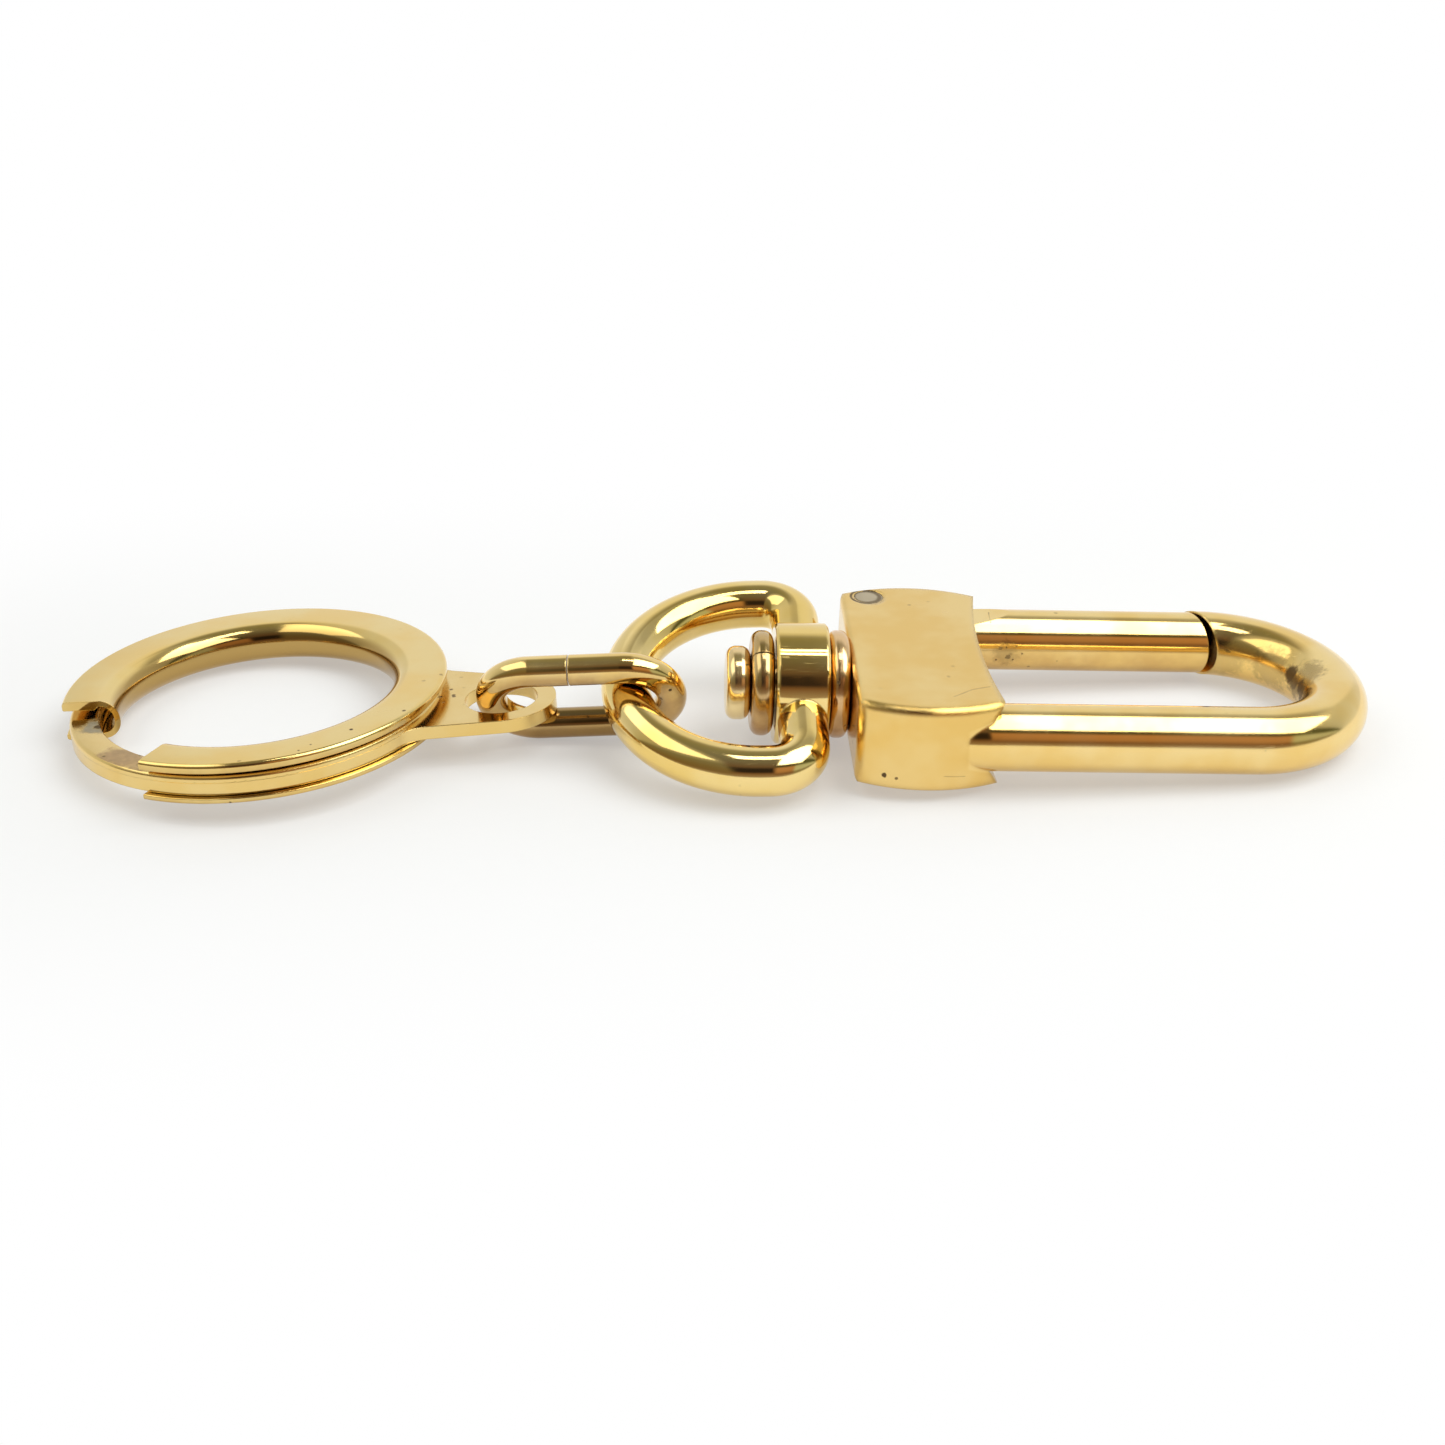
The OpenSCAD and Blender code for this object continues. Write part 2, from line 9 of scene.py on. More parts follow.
import bmesh
import bpy
from mathutils import Matrix, Vector
from mathutils.bvhtree import BVHTree
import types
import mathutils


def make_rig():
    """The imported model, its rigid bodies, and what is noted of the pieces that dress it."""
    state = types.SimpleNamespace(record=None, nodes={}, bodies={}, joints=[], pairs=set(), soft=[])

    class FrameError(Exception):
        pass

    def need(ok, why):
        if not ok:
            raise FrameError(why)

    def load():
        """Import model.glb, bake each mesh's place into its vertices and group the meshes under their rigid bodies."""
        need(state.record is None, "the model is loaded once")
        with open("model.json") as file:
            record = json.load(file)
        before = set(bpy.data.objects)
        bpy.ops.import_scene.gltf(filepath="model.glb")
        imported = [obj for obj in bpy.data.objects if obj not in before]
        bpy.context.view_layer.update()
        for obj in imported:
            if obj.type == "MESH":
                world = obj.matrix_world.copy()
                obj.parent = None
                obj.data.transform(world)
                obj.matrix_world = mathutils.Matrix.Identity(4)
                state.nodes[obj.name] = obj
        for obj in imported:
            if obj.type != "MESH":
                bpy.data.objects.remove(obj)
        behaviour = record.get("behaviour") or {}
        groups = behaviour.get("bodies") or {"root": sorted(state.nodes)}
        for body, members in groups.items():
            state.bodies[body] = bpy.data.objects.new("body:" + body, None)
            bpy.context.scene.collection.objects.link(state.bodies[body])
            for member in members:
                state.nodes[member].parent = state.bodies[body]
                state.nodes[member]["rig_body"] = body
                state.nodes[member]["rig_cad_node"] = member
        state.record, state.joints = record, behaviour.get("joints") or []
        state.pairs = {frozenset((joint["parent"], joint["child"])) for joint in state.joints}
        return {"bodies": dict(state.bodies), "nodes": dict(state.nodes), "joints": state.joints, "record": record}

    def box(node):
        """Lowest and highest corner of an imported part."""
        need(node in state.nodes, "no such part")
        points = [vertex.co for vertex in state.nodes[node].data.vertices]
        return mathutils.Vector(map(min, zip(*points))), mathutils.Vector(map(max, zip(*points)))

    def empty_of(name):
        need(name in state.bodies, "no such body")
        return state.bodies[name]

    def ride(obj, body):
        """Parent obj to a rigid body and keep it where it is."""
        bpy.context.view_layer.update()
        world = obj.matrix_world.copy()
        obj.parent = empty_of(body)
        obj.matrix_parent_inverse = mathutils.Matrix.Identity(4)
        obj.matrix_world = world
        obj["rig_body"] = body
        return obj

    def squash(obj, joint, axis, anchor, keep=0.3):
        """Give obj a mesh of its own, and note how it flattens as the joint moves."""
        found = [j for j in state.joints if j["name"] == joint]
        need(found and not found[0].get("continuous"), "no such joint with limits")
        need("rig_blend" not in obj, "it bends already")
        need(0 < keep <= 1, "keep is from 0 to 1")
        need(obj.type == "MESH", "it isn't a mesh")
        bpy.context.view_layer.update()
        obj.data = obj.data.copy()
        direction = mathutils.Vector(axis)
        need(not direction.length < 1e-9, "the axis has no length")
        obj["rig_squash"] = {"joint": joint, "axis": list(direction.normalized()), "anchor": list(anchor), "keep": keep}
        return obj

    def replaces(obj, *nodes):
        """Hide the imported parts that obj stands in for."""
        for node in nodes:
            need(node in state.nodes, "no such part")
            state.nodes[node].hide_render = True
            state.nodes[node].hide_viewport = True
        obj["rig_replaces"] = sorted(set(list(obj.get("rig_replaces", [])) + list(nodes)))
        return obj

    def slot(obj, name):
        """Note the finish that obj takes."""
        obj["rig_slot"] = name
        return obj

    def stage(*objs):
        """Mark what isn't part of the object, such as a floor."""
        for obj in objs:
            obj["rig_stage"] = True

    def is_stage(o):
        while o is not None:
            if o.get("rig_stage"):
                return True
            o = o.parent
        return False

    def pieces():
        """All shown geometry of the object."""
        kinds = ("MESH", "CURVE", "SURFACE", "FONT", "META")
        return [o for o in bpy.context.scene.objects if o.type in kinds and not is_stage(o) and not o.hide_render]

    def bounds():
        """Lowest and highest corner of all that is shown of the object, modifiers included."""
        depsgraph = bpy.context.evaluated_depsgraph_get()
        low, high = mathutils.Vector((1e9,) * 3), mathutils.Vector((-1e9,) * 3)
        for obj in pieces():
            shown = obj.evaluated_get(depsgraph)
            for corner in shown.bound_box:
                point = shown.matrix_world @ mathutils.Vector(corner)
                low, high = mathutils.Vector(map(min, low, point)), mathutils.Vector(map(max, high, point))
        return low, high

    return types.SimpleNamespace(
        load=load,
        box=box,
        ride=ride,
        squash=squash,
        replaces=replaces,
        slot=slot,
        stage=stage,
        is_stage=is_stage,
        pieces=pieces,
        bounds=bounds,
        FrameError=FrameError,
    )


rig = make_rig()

log = logging.getLogger("keyring")

MM = 0.001
PHOTO_SIDE = 1445
Colour = tuple[float, float, float]
Place = tuple[float, float, float]
Stops = list[tuple[float, Colour]]
Section = list[tuple[float, float]]
Socket = bpy.types.NodeSocket
Piece = bpy.types.Object


class Body(Enum):
    """The moving bodies that the pieces made here ride on, by their CAD names."""

    HOOK = "hook"
    PLATE = "ring_plate"
    SLEEVE = "ring_sleeve"


def placed(name: str, data: bpy.types.ID) -> Piece:
    """Makes an object and puts it in the scene.

    Args:
        name: Its name.
        data: The mesh, lamp or camera that it holds.

    Returns:
        The object.
    """
    made = bpy.data.objects.new(name, data)
    bpy.context.scene.collection.objects.link(made)
    return made


# ---- camera and image points ----


@dataclass(frozen=True)
class PhotoCamera:
    """The camera that took the photograph, fitted to the hook's outline."""

    place_mm: Place = (-2.8628, -159.489, 85.4234)
    aim: Place = (0.02078, 0.88032, -0.473918)
    up: Place = (0.033771, 0.47313, 0.880342)
    lens: float = 57.575
    sensor: float = 36.0
    nearest: float = 0.01
    furthest: float = 20.0

    def build(self) -> Piece:
        """Makes the camera and gives it to the scene.

        Returns:
            The camera object.
        """
        data = bpy.data.cameras.new("photo_camera")
        data.lens = self.lens
        data.sensor_width = self.sensor
        data.sensor_fit = "AUTO"
        data.clip_start = self.nearest
        data.clip_end = self.furthest
        camera = placed("photo_camera", data)
        back = -Vector(self.aim).normalized()
        right = Vector(self.up).cross(back).normalized()
        turn = Matrix((right, back.cross(right), back)).transposed().to_4x4()
        camera.matrix_world = Matrix.Translation(Vector(self.place_mm) * MM) @ turn
        bpy.context.scene.camera = camera
        log.info("camera built")
        return camera

    def ray(self, x: float, y: float) -> tuple[Vector, Vector]:
        """The line of sight through one point of the photograph.

        Args:
            x: Pixels from the left.
            y: Pixels from the top.

        Returns:
            Where the ray starts and its direction.
        """
        camera = bpy.context.scene.camera.matrix_world
        middle = PHOTO_SIDE / 2
        local = Vector((x - middle, middle - y, -PHOTO_SIDE * self.lens / self.sensor))
        return camera.translation.copy(), (camera.to_3x3() @ local).normalized()


@dataclass
class ImagePoints:
    """Named points of the photograph and what of the model shows at each."""

    camera: PhotoCamera
    left_x: float = 59.5
    right_x: float = 1367.8
    top_y: float = 577.8
    bottom_y: float = 804.5
    marks: dict[str, tuple[float, float]] = field(
        default_factory=lambda: {
            "hinge_pin": (868.0, 596.5),
            "gate_tip": (1208.7, 646.0),
            "arm_seam": (1265.0, 760.0),
            "link_slit": (571.5, 668.0),
            "tab_tip": (558.0, 701.7),
            "head_left": (725.6, 684.0),
            "scuff_dark": (98.0, 727.0),
            "scuff_rosy": (122.0, 757.0),
            "sleeve_speck": (351.0, 729.5),
            "sleeve_nick": (404.0, 710.5),
            "link_pit": (670.0, 690.0),
            "block_nick": (884.0, 775.0),
            "gate_pitting": (1008.0, 657.0),
            "bow_tarnish": (1300.0, 686.0),
        }
    )
    found: dict[str, Vector] = field(default_factory=dict)

    def place_on(self, name: str, *pieces: Piece) -> Vector:
        """The spot on these pieces that shows at a named point.

        Args:
            name: The point's name in marks.
            pieces: What may carry it.

        Returns:
            The spot in the shared frame, in metres; a miss takes the corner nearest the ray.
        """
        start, way = self.camera.ray(*self.marks[name])
        best: tuple[float, Vector] | None = None
        graph = bpy.context.evaluated_depsgraph_get()
        for piece in pieces:
            tree = BVHTree.FromObject(piece, graph)
            spot, _, _, reach = tree.ray_cast(start, way)
            if spot is not None and (best is None or reach < best[0]):
                best = (reach, spot)
        if best is None:
            corners = (piece.matrix_world @ v.co for piece in pieces for v in piece.data.vertices)
            near = min(corners, key=lambda c: (c - start).cross(way).length)
            best = (0.0, near)
        self.found[name] = best[1]
        return best[1]

    def mark_at(self, name: str, spot: Vector) -> None:
        """Says where in the shared frame a named feature really is."""
        self.found[name] = spot

    def mark_edge(self, name: str, piece: Piece, side: float, width: float = 1.0) -> None:
        """Marks the middle of a piece's outermost edge in the picture.

        Args:
            name: The point's name in marks.
            piece: The piece.
            side: 1 for its right edge, -1 for its left one.
            width: How far in, in pixels, corners still count as the edge.
        """
        reach = [(side * self.seen(v.co)[0], v.co) for v in piece.data.vertices]
        edge = max(seen for seen, _ in reach)
        outer = [spot for seen, spot in reach if seen > edge - width]
        self.found[name] = sum(outer, Vector()) / len(outer)

    def mark_near(self, name: str, piece: Piece, within: float = 0.0008) -> None:
        """Marks the middle of the piece's corners that lie by the line of sight.

        Args:
            name: The point's name in marks.
            piece: The piece.
            within: How near, in metres, a corner has to be.
        """
        start, way = self.camera.ray(*self.marks[name])
        near = [v.co for v in piece.data.vertices if (v.co - start).cross(way).length < within]
        self.found[name] = sum(near, Vector()) / len(near) if near else self.place_on(name, piece)

    def seen(self, spot: Vector) -> tuple[float, float]:
        """Where a spot falls in the photograph.

        Args:
            spot: A place in the shared frame, in metres.

        Returns:
            Pixels from the left and from the top.
        """
        camera = bpy.context.scene.camera.matrix_world.inverted() @ spot
        scale = PHOTO_SIDE * self.camera.lens / self.camera.sensor / -camera.z
        return PHOTO_SIDE / 2 + camera.x * scale, PHOTO_SIDE / 2 - camera.y * scale

    def write(self, pieces: list[Piece], path: str) -> None:
        """Writes how far each thing shows from its point.

        Args:
            pieces: Everything that belongs to the keyring.
            path: The file to write.
        """
        graph = bpy.context.evaluated_depsgraph_get()
        xs: list[float] = []
        ys: list[float] = []
        for piece in pieces:
            done = piece.evaluated_get(graph)
            for corner in done.data.vertices:
                x, y = self.seen(done.matrix_world @ corner.co)
                xs.append(x)
                ys.append(y)
        out = {
            "left": {"dx": round(min(xs) - self.left_x, 2)},
            "right": {"dx": round(max(xs) - self.right_x, 2)},
            "top": {"dy": round(min(ys) - self.top_y, 2)},
            "bottom": {"dy": round(max(ys) - self.bottom_y, 2)},
        }
        for name, spot in self.found.items():
            x, y = self.seen(spot)
            px, py = self.marks[name]
            out[name] = {"dx": round(x - px, 2), "dy": round(y - py, 2)}
        with open(path, "w") as handle:
            json.dump(out, handle, indent=1)
        log.info("image points %s", out)


# ---- material building ----


@dataclass(frozen=True)
class Grain:
    """A cloudy noise: its scale, its layers of detail and how rough they are."""

    scale: float
    detail: float
    roughness: float


PATINA = Grain(170.0, 3.0, 0.55)
FINE = Grain(1900.0, 4.0, 0.65)
SWELL = Grain(420.0, 1.0, 0.4)
BLOTCH = Grain(330.0, 3.0, 0.6)
SCUFF_EDGE = Grain(700.0, 3.0, 0.6)
STROKE_FIELD = Grain(260.0, 2.0, 0.5)
SPECK_FIELD = Grain(130.0, 2.0, 0.5)
# the two ends between which noise, distance or slope makes something come or go
PALE_BAND = (0.35, 0.65)
WORN_BAND = (0.3, 0.75)
MOTTLE_BAND = (0.3, 0.7)
BLOTCH_BAND = (0.3, 0.6)
STROKE_BAND = (0.66, 0.74)
STROKE_FIELD_BAND = (0.5, 0.7)
SPECK_BAND = (0.10, 0.19)
SPECK_FIELD_BAND = (0.60, 0.74)
CORNER_BAND = (0.25, 0.8)
TOP_BAND = (0.8, 0.93)
UNDERSIDE_SHADE_BAND = (0.55, -0.3)
# hairline scratches: which way the noise is turned, and how far it is drawn out
STROKES: tuple[tuple[Place, Place], ...] = (
    ((0.2, 0.5, 0.35), (260.0, 6200.0, 5200.0)),
    ((0.4, -0.3, -0.9), (300.0, 5400.0, 6000.0)),
)


def opaque(colour: Colour) -> tuple[float, float, float, float]:
    """The colour with nothing showing through."""
    return (*colour, 1.0)


def shifted(spot: Place, by: Place) -> Place:
    """A place moved by some millimetres."""
    return tuple(a + b for a, b in zip(spot, by))


class NodeBench:
    """Lays out the nodes of one material or world."""

    def __init__(self, tree: bpy.types.NodeTree) -> None:
        """Takes a node tree and empties it."""
        self.tree = tree
        tree.nodes.clear()

    def add(
        self, kind: str, inputs: dict[str | int, object] | None = None, **settings: object
    ) -> bpy.types.Node:
        """Adds a node.

        Args:
            kind: Blender's node type.
            inputs: Socket to value, or to the output socket that feeds it.
            settings: The node's own settings.

        Returns:
            The node.
        """
        node = self.tree.nodes.new(kind)
        for name, value in settings.items():
            setattr(node, name, value)
        for name, value in (inputs or {}).items():
            if isinstance(value, bpy.types.NodeSocket):
                self.tree.links.new(value, node.inputs[name])
            else:
                node.inputs[name].default_value = value
        return node

    def maths(self, operation: str, a: object, b: object = 0.0, clamp: bool = False) -> Socket:
        """One sum of two numbers."""
        node = self.add("ShaderNodeMath", {0: a, 1: b}, operation=operation, use_clamp=clamp)
        return node.outputs[0]

    def times(self, a: object, b: object) -> Socket:
        """Two numbers multiplied."""
        return self.maths("MULTIPLY", a, b)

    def span(self, value: Socket, low: float, high: float, to_low: object, to_high: object) -> Socket:
        """A value from low..high carried over, smoothly, to to_low..to_high."""
        ends = {0: value, 1: low, 2: high, 3: to_low, 4: to_high}
        return self.add("ShaderNodeMapRange", ends, interpolation_type="SMOOTHSTEP").outputs[0]

    def vector(self, operation: str, a: object, b: object) -> bpy.types.bpy_prop_collection:
        """The outputs of one sum of two vectors."""
        return self.add("ShaderNodeVectorMath", {0: a, 1: b}, operation=operation).outputs

    def mix(self, amount: object, a: object, b: object, blend: str = "MIX") -> Socket:
        """Colour a blended towards colour b."""
        node = self.add("ShaderNodeMix", {0: amount, 6: a, 7: b}, data_type="RGBA", blend_type=blend)
        return node.outputs[2]

    def ramp(self, value: Socket, stops: Stops) -> Socket:
        """A colour ramp.

        Args:
            value: Where on the ramp, 0 to 1.
            stops: Each stop's place and colour.

        Returns:
            The colour there.
        """
        node = self.add("ShaderNodeValToRGB", {0: value})
        bar = node.color_ramp
        while len(bar.elements) < len(stops):
            bar.elements.new(0.5)
        for element, (place, colour) in zip(bar.elements, stops):
            element.position = place
            element.color = opaque(colour)
        return node.outputs[0]


class Surface(NodeBench):
    """The nodes of one gold finish, with what all its wear shares."""

    def __init__(self, tree: bpy.types.NodeTree) -> None:
        """Starts with the place on the piece, how far it faces up, and two noises.

        Args:
            tree: The node tree of a material.
        """
        super().__init__(tree)
        where = self.add("ShaderNodeTexCoord").outputs
        self.place = where["Object"]
        self.up = self.add("ShaderNodeSeparateXYZ", {0: where["Normal"]}).outputs["Z"]
        self.patina = self.cloud(PATINA)
        self.fine = self.cloud(FINE)

    def cloud(self, grain: Grain) -> Socket:
        """Cloudy noise over the piece, 0 to 1."""
        look = {"Scale": grain.scale, "Detail": grain.detail, "Roughness": grain.roughness}
        return self.add("ShaderNodeTexNoise", {"Vector": self.place, **look}).outputs[0]

    def away(self, spot: Place) -> Socket:
        """The distance in metres from a spot given in mm."""
        return self.vector("DISTANCE", self.place, tuple(c * MM for c in spot))["Value"]

    def from_line(self, start: Place, end: Place) -> Socket:
        """The distance from the straight line between two spots.

        Args:
            start: One end of the line, in mm.
            end: Its other end, in mm.

        Returns:
            Metres; past an end it is the distance from that end.
        """
        foot_at = Vector(start) * MM
        run = Vector(end) * MM - foot_at
        offset = self.vector("SUBTRACT", self.place, foot_at)[0]
        along = self.vector("DOT_PRODUCT", offset, run / run.length_squared)["Value"]
        along = self.maths("ADD", along, 0.0, clamp=True)
        foot = self.add("ShaderNodeVectorMath", {0: run, "Scale": along}, operation="SCALE").outputs[0]
        return self.vector("DISTANCE", offset, foot)["Value"]

    def ragged(self, away: Socket, noise: Socket, reach: float) -> Socket:
        """A distance that noise makes longer or shorter, for a ragged edge."""
        return self.maths("ADD", away, self.times(self.maths("SUBTRACT", noise, 0.5), reach))


class Wear:
    """A dark mark in the plating. Places and sizes are mm.

    Its size is its radius, or half its width. Noise moves its edge by ragged sizes, and core is
    the share of the size that has the full depth.
    """

    size_mm: float
    depth: float
    ragged: float
    core: float

    def away(self, surface: Surface) -> Socket:
        """The distance from the mark's middle, in metres."""
        raise NotImplementedError

    def mask(self, surface: Surface) -> Socket:
        """Where the mark lies.

        Args:
            surface: The surface it is in.

        Returns:
            0 to depth.
        """
        size = self.size_mm * MM
        away = surface.ragged(self.away(surface), surface.fine, self.ragged * size)
        return surface.span(away, self.core * size, size, self.depth, 0.0)


@dataclass(frozen=True)
class Blemish(Wear):
    """One spot of tarnish or a nick."""

    spot: Place
    size_mm: float
    depth: float = 1.0
    ragged: float = 1.4
    core: float = 0.45

    def away(self, surface: Surface) -> Socket:
        """The distance from the spot."""
        return surface.away(self.spot)


@dataclass(frozen=True)
class Scratch(Wear):
    """A straight scratch between two places."""

    start: Place
    end: Place
    size_mm: float = 0.07
    depth: float = 0.7
    ragged: float = 1.6
    core: float = 0.2

    def away(self, surface: Surface) -> Socket:
        """The distance from the line."""
        return surface.from_line(self.start, self.end)


@dataclass(frozen=True)
class DarkRim(Wear):
    """A dark ring round a pin's head."""

    spot: Place
    radius_mm: float
    size_mm: float
    depth: float = 0.9
    ragged: float = 1.0
    core: float = 0.2

    def away(self, surface: Surface) -> Socket:
        """The distance from the circle."""
        past = surface.maths("SUBTRACT", surface.away(self.spot), self.radius_mm * MM)
        return surface.maths("ABSOLUTE", past)


@dataclass(frozen=True)
class Scuff:
    """A patch rubbed through the plating to dull metal, on top of the piece; its place is in mm."""

    spot: Place
    radius_mm: float
    colour: Colour
    depth: float = 0.9
    ragged: float = 1.6
    core: float = 0.5
    shade: float = 0.8
    rougher: float = 0.4
    duller: float = 0.55

    def mask(self, surface: Surface, marks: Socket) -> Socket:
        """Where the patch lies.

        Args:
            surface: The surface it is in.
            marks: The darker marks, which it leaves free.

        Returns:
            0 to depth.
        """
        size = self.radius_mm * MM
        away = surface.ragged(surface.away(self.spot), surface.cloud(SCUFF_EDGE), self.ragged * size)
        patch = surface.span(away, self.core * size, size, self.depth, 0.0)
        patch = surface.times(patch, surface.maths("SUBTRACT", 1.0, marks))
        return surface.times(patch, surface.span(surface.up, *TOP_BAND, 0.0, 1.0))

    def metal(self, surface: Surface) -> Socket:
        """The dull metal's colour, finely mottled."""
        shade = opaque(tuple(c * self.shade for c in self.colour))
        return surface.mix(surface.span(surface.fine, *MOTTLE_BAND, 0.0, 1.0), shade, opaque(self.colour))


@dataclass(frozen=True)
class SatinZone:
    """A stretch along X with a softer, warmer finish and more rounded edges.

    The arm in it stays bright, but for its root up to root_x. Places and sizes are mm.
    """

    x_from: float
    x_to: float
    roughness: float
    tint: Colour
    edge_mm: float
    arm_from: Place
    arm_to: Place
    arm_radius_mm: float
    root_x: float
    fade_mm: float = 0.15

    def mask(self, surface: Surface) -> Socket:
        """Where the zone lies.

        Args:
            surface: The surface it is on.

        Returns:
            0 to 1.
        """
        x = surface.add("ShaderNodeSeparateXYZ", {0: surface.place}).outputs["X"]
        fade = self.fade_mm * MM
        start, end, root = self.x_from * MM, self.x_to * MM, self.root_x * MM
        radius = self.arm_radius_mm * MM
        opens = surface.span(x, start - fade, start, 0.0, 1.0)
        zone = surface.times(opens, surface.span(x, end, end + fade, 1.0, 0.0))
        away = surface.from_line(self.arm_from, self.arm_to)
        on_arm = surface.span(away, radius, radius + fade, 1.0, 0.0)
        on_arm = surface.times(on_arm, surface.span(x, root, root + 2 * fade, 0.0, 1.0))
        return surface.times(zone, surface.maths("SUBTRACT", 1.0, on_arm))


@dataclass(frozen=True)
class ShadeZone:
    """Painted shade: a darker colour round a line between two places in mm, at rest."""

    axis_from: Place
    axis_to: Place
    radius_mm: float
    fade_mm: float
    depth: float
    colour: Colour

    def mask(self, surface: Surface) -> Socket:
        """Where the zone lies.

        Args:
            surface: The surface it is on.

        Returns:
            0 to depth.
        """
        away = surface.from_line(self.axis_from, self.axis_to)
        whole, gone = self.radius_mm * MM, (self.radius_mm + self.fade_mm) * MM
        return surface.span(away, whole, gone, self.depth, 0.0)


@dataclass(frozen=True)
class GoldPlate:
    """Polished gold plate with the small wear of use, and painted shade underneath and in its inner corners."""

    name: str
    warm: Colour = (0.89, 0.615, 0.205)
    pale: Colour = (0.93, 0.70, 0.30)
    # the colour of tarnish marks, also painted as shade into the inner corners
    tarnish: Colour = (0.13, 0.085, 0.04)
    # the coppery colour of the sides facing down, partly thin plating and partly painted shade, and its least share in
    # the blotches
    shade_copper: Colour = (0.62, 0.38, 0.13)
    least_underside_shade: float = 0.55
    roughness: float = 0.07
    roughness_worn: float = 0.16
    hair_rougher: float = 0.18
    mark_rougher: float = 0.35
    ripple: float = 0.1
    ripple_mm: float = 0.1
    grain_height: float = 0.05
    hair_depth: float = 0.06
    mark_depth: float = 0.8
    speckle: float = 0.5
    speck_scale: float = 900.0
    # painted shade in the inner corners: how dark it gets, and how far it reaches
    corner_shade: float = 0.45
    corner_shade_mm: float = 0.9
    # how strongly the sides facing down are painted darker and coppery, as shade
    underside_shade: float = 0.0
    edge_mm: float = 0.12
    wear: tuple[Wear, ...] = ()
    scuffs: tuple[Scuff, ...] = ()
    satin: SatinZone | None = None
    # painted shade round a line, if any
    shade_zone: ShadeZone | None = None

    def material(self) -> bpy.types.Material:
        """Builds the finish.

        Returns:
            A node material: metal whose colour, roughness and surface vary with wear, and whose colour also carries
                painted shade.
        """
        paint = bpy.data.materials.new(self.name)
        paint.use_nodes = True
        surface = Surface(paint.node_tree)
        hair = self.hairlines(surface)
        marks = self.specks(surface)
        for mark in self.wear:
            marks = surface.maths("MAXIMUM", marks, mark.mask(surface))
        base = self.plating(surface)
        rough = surface.span(surface.patina, *WORN_BAND, self.roughness, self.roughness_worn)
        edge: Socket | float = self.edge_mm * MM
        if self.satin is not None:
            zone = self.satin.mask(surface)
            tinted = surface.mix(1.0, base, opaque(self.satin.tint), "MULTIPLY")
            base = surface.mix(zone, base, tinted)
            rough = surface.maths("MAXIMUM", rough, surface.times(zone, self.satin.roughness))
            edge = surface.span(zone, 0.0, 1.0, edge, self.satin.edge_mm * MM)
        base = surface.mix(marks, base, opaque(self.tarnish))
        # painted shade: the piece's own inner corners darken towards the tarnish colour
        base = surface.mix(self.painted_corner_shade(surface), base, opaque(self.tarnish))
        rough = surface.maths("ADD", rough, surface.times(hair, self.hair_rougher))
        rough = surface.maths("ADD", rough, surface.times(marks, self.mark_rougher), clamp=True)
        metallic: Socket | float = 1.0
        for scuff in self.scuffs:
            patch = scuff.mask(surface, marks)
            base = surface.mix(patch, base, scuff.metal(surface))
            rough = surface.maths("ADD", rough, surface.times(patch, scuff.rougher), clamp=True)
            bare = surface.times(patch, scuff.duller)
            metallic = surface.maths("SUBTRACT", metallic, bare, clamp=True)
        soft_edge = surface.add("ShaderNodeBevel", {"Radius": edge}, samples=6).outputs[0]
        relief = {
            "Height": self.relief(surface, hair, marks),
            "Strength": self.ripple,
            "Distance": self.ripple_mm * MM,
            "Normal": soft_edge,
        }
        bump = surface.add("ShaderNodeBump", relief).outputs[0]
        look = {"Base Color": base, "Roughness": rough, "Normal": bump, "Metallic": metallic}
        metal = surface.add("ShaderNodeBsdfPrincipled", look)
        surface.add("ShaderNodeOutputMaterial", {"Surface": metal.outputs[0]})
        return paint

    def plating(self, surface: Surface) -> Socket:
        """The plating before any mark, darker and coppery in blotches on the sides that face down: partly thin plating,
        partly painted shade.

        Args:
            surface: The surface it is on.

        Returns:
            Its colour.
        """
        share = surface.span(surface.patina, *PALE_BAND, 0.0, 1.0)
        gold = surface.mix(share, opaque(self.warm), opaque(self.pale))
        # painted shade: the sides facing down turn darker and coppery, in blotches
        shade_below = surface.span(surface.up, *UNDERSIDE_SHADE_BAND, 0.0, self.underside_shade)
        blotch = surface.span(surface.cloud(BLOTCH), *BLOTCH_BAND, self.least_underside_shade, 1.0)
        gold = surface.mix(surface.times(shade_below, blotch), gold, opaque(self.shade_copper))
        # painted shade: a darker colour round a line
        if self.shade_zone is not None:
            gold = surface.mix(self.shade_zone.mask(surface), gold, opaque(self.shade_zone.colour))
        return gold

    def painted_corner_shade(self, surface: Surface) -> Socket:
        """Painted shade: darker in the piece's own inner corners, where the piece itself hides the light.

        Args:
            surface: The surface it is on.

        Returns:
            0 to the share of painted corner shade.
        """
        look = {"Distance": self.corner_shade_mm * MM}
        corner = surface.add("ShaderNodeAmbientOcclusion", look, samples=4, only_local=True)
        return surface.times(surface.span(corner.outputs["AO"], *CORNER_BAND, 1.0, 0.0), self.corner_shade)

    def relief(self, surface: Surface, hair: Socket, marks: Socket) -> Socket:
        """The height of the surface.

        Args:
            surface: The surface.
            hair: The hairline scratches.
            marks: The specks and the other wear.

        Returns:
            Slow swells with a little fine grain, scratches and pits.
        """
        grain = surface.times(surface.fine, self.grain_height)
        height = surface.maths("ADD", surface.cloud(SWELL), grain)
        height = surface.maths("SUBTRACT", height, surface.times(hair, self.hair_depth))
        return surface.maths("SUBTRACT", height, surface.times(marks, self.mark_depth))

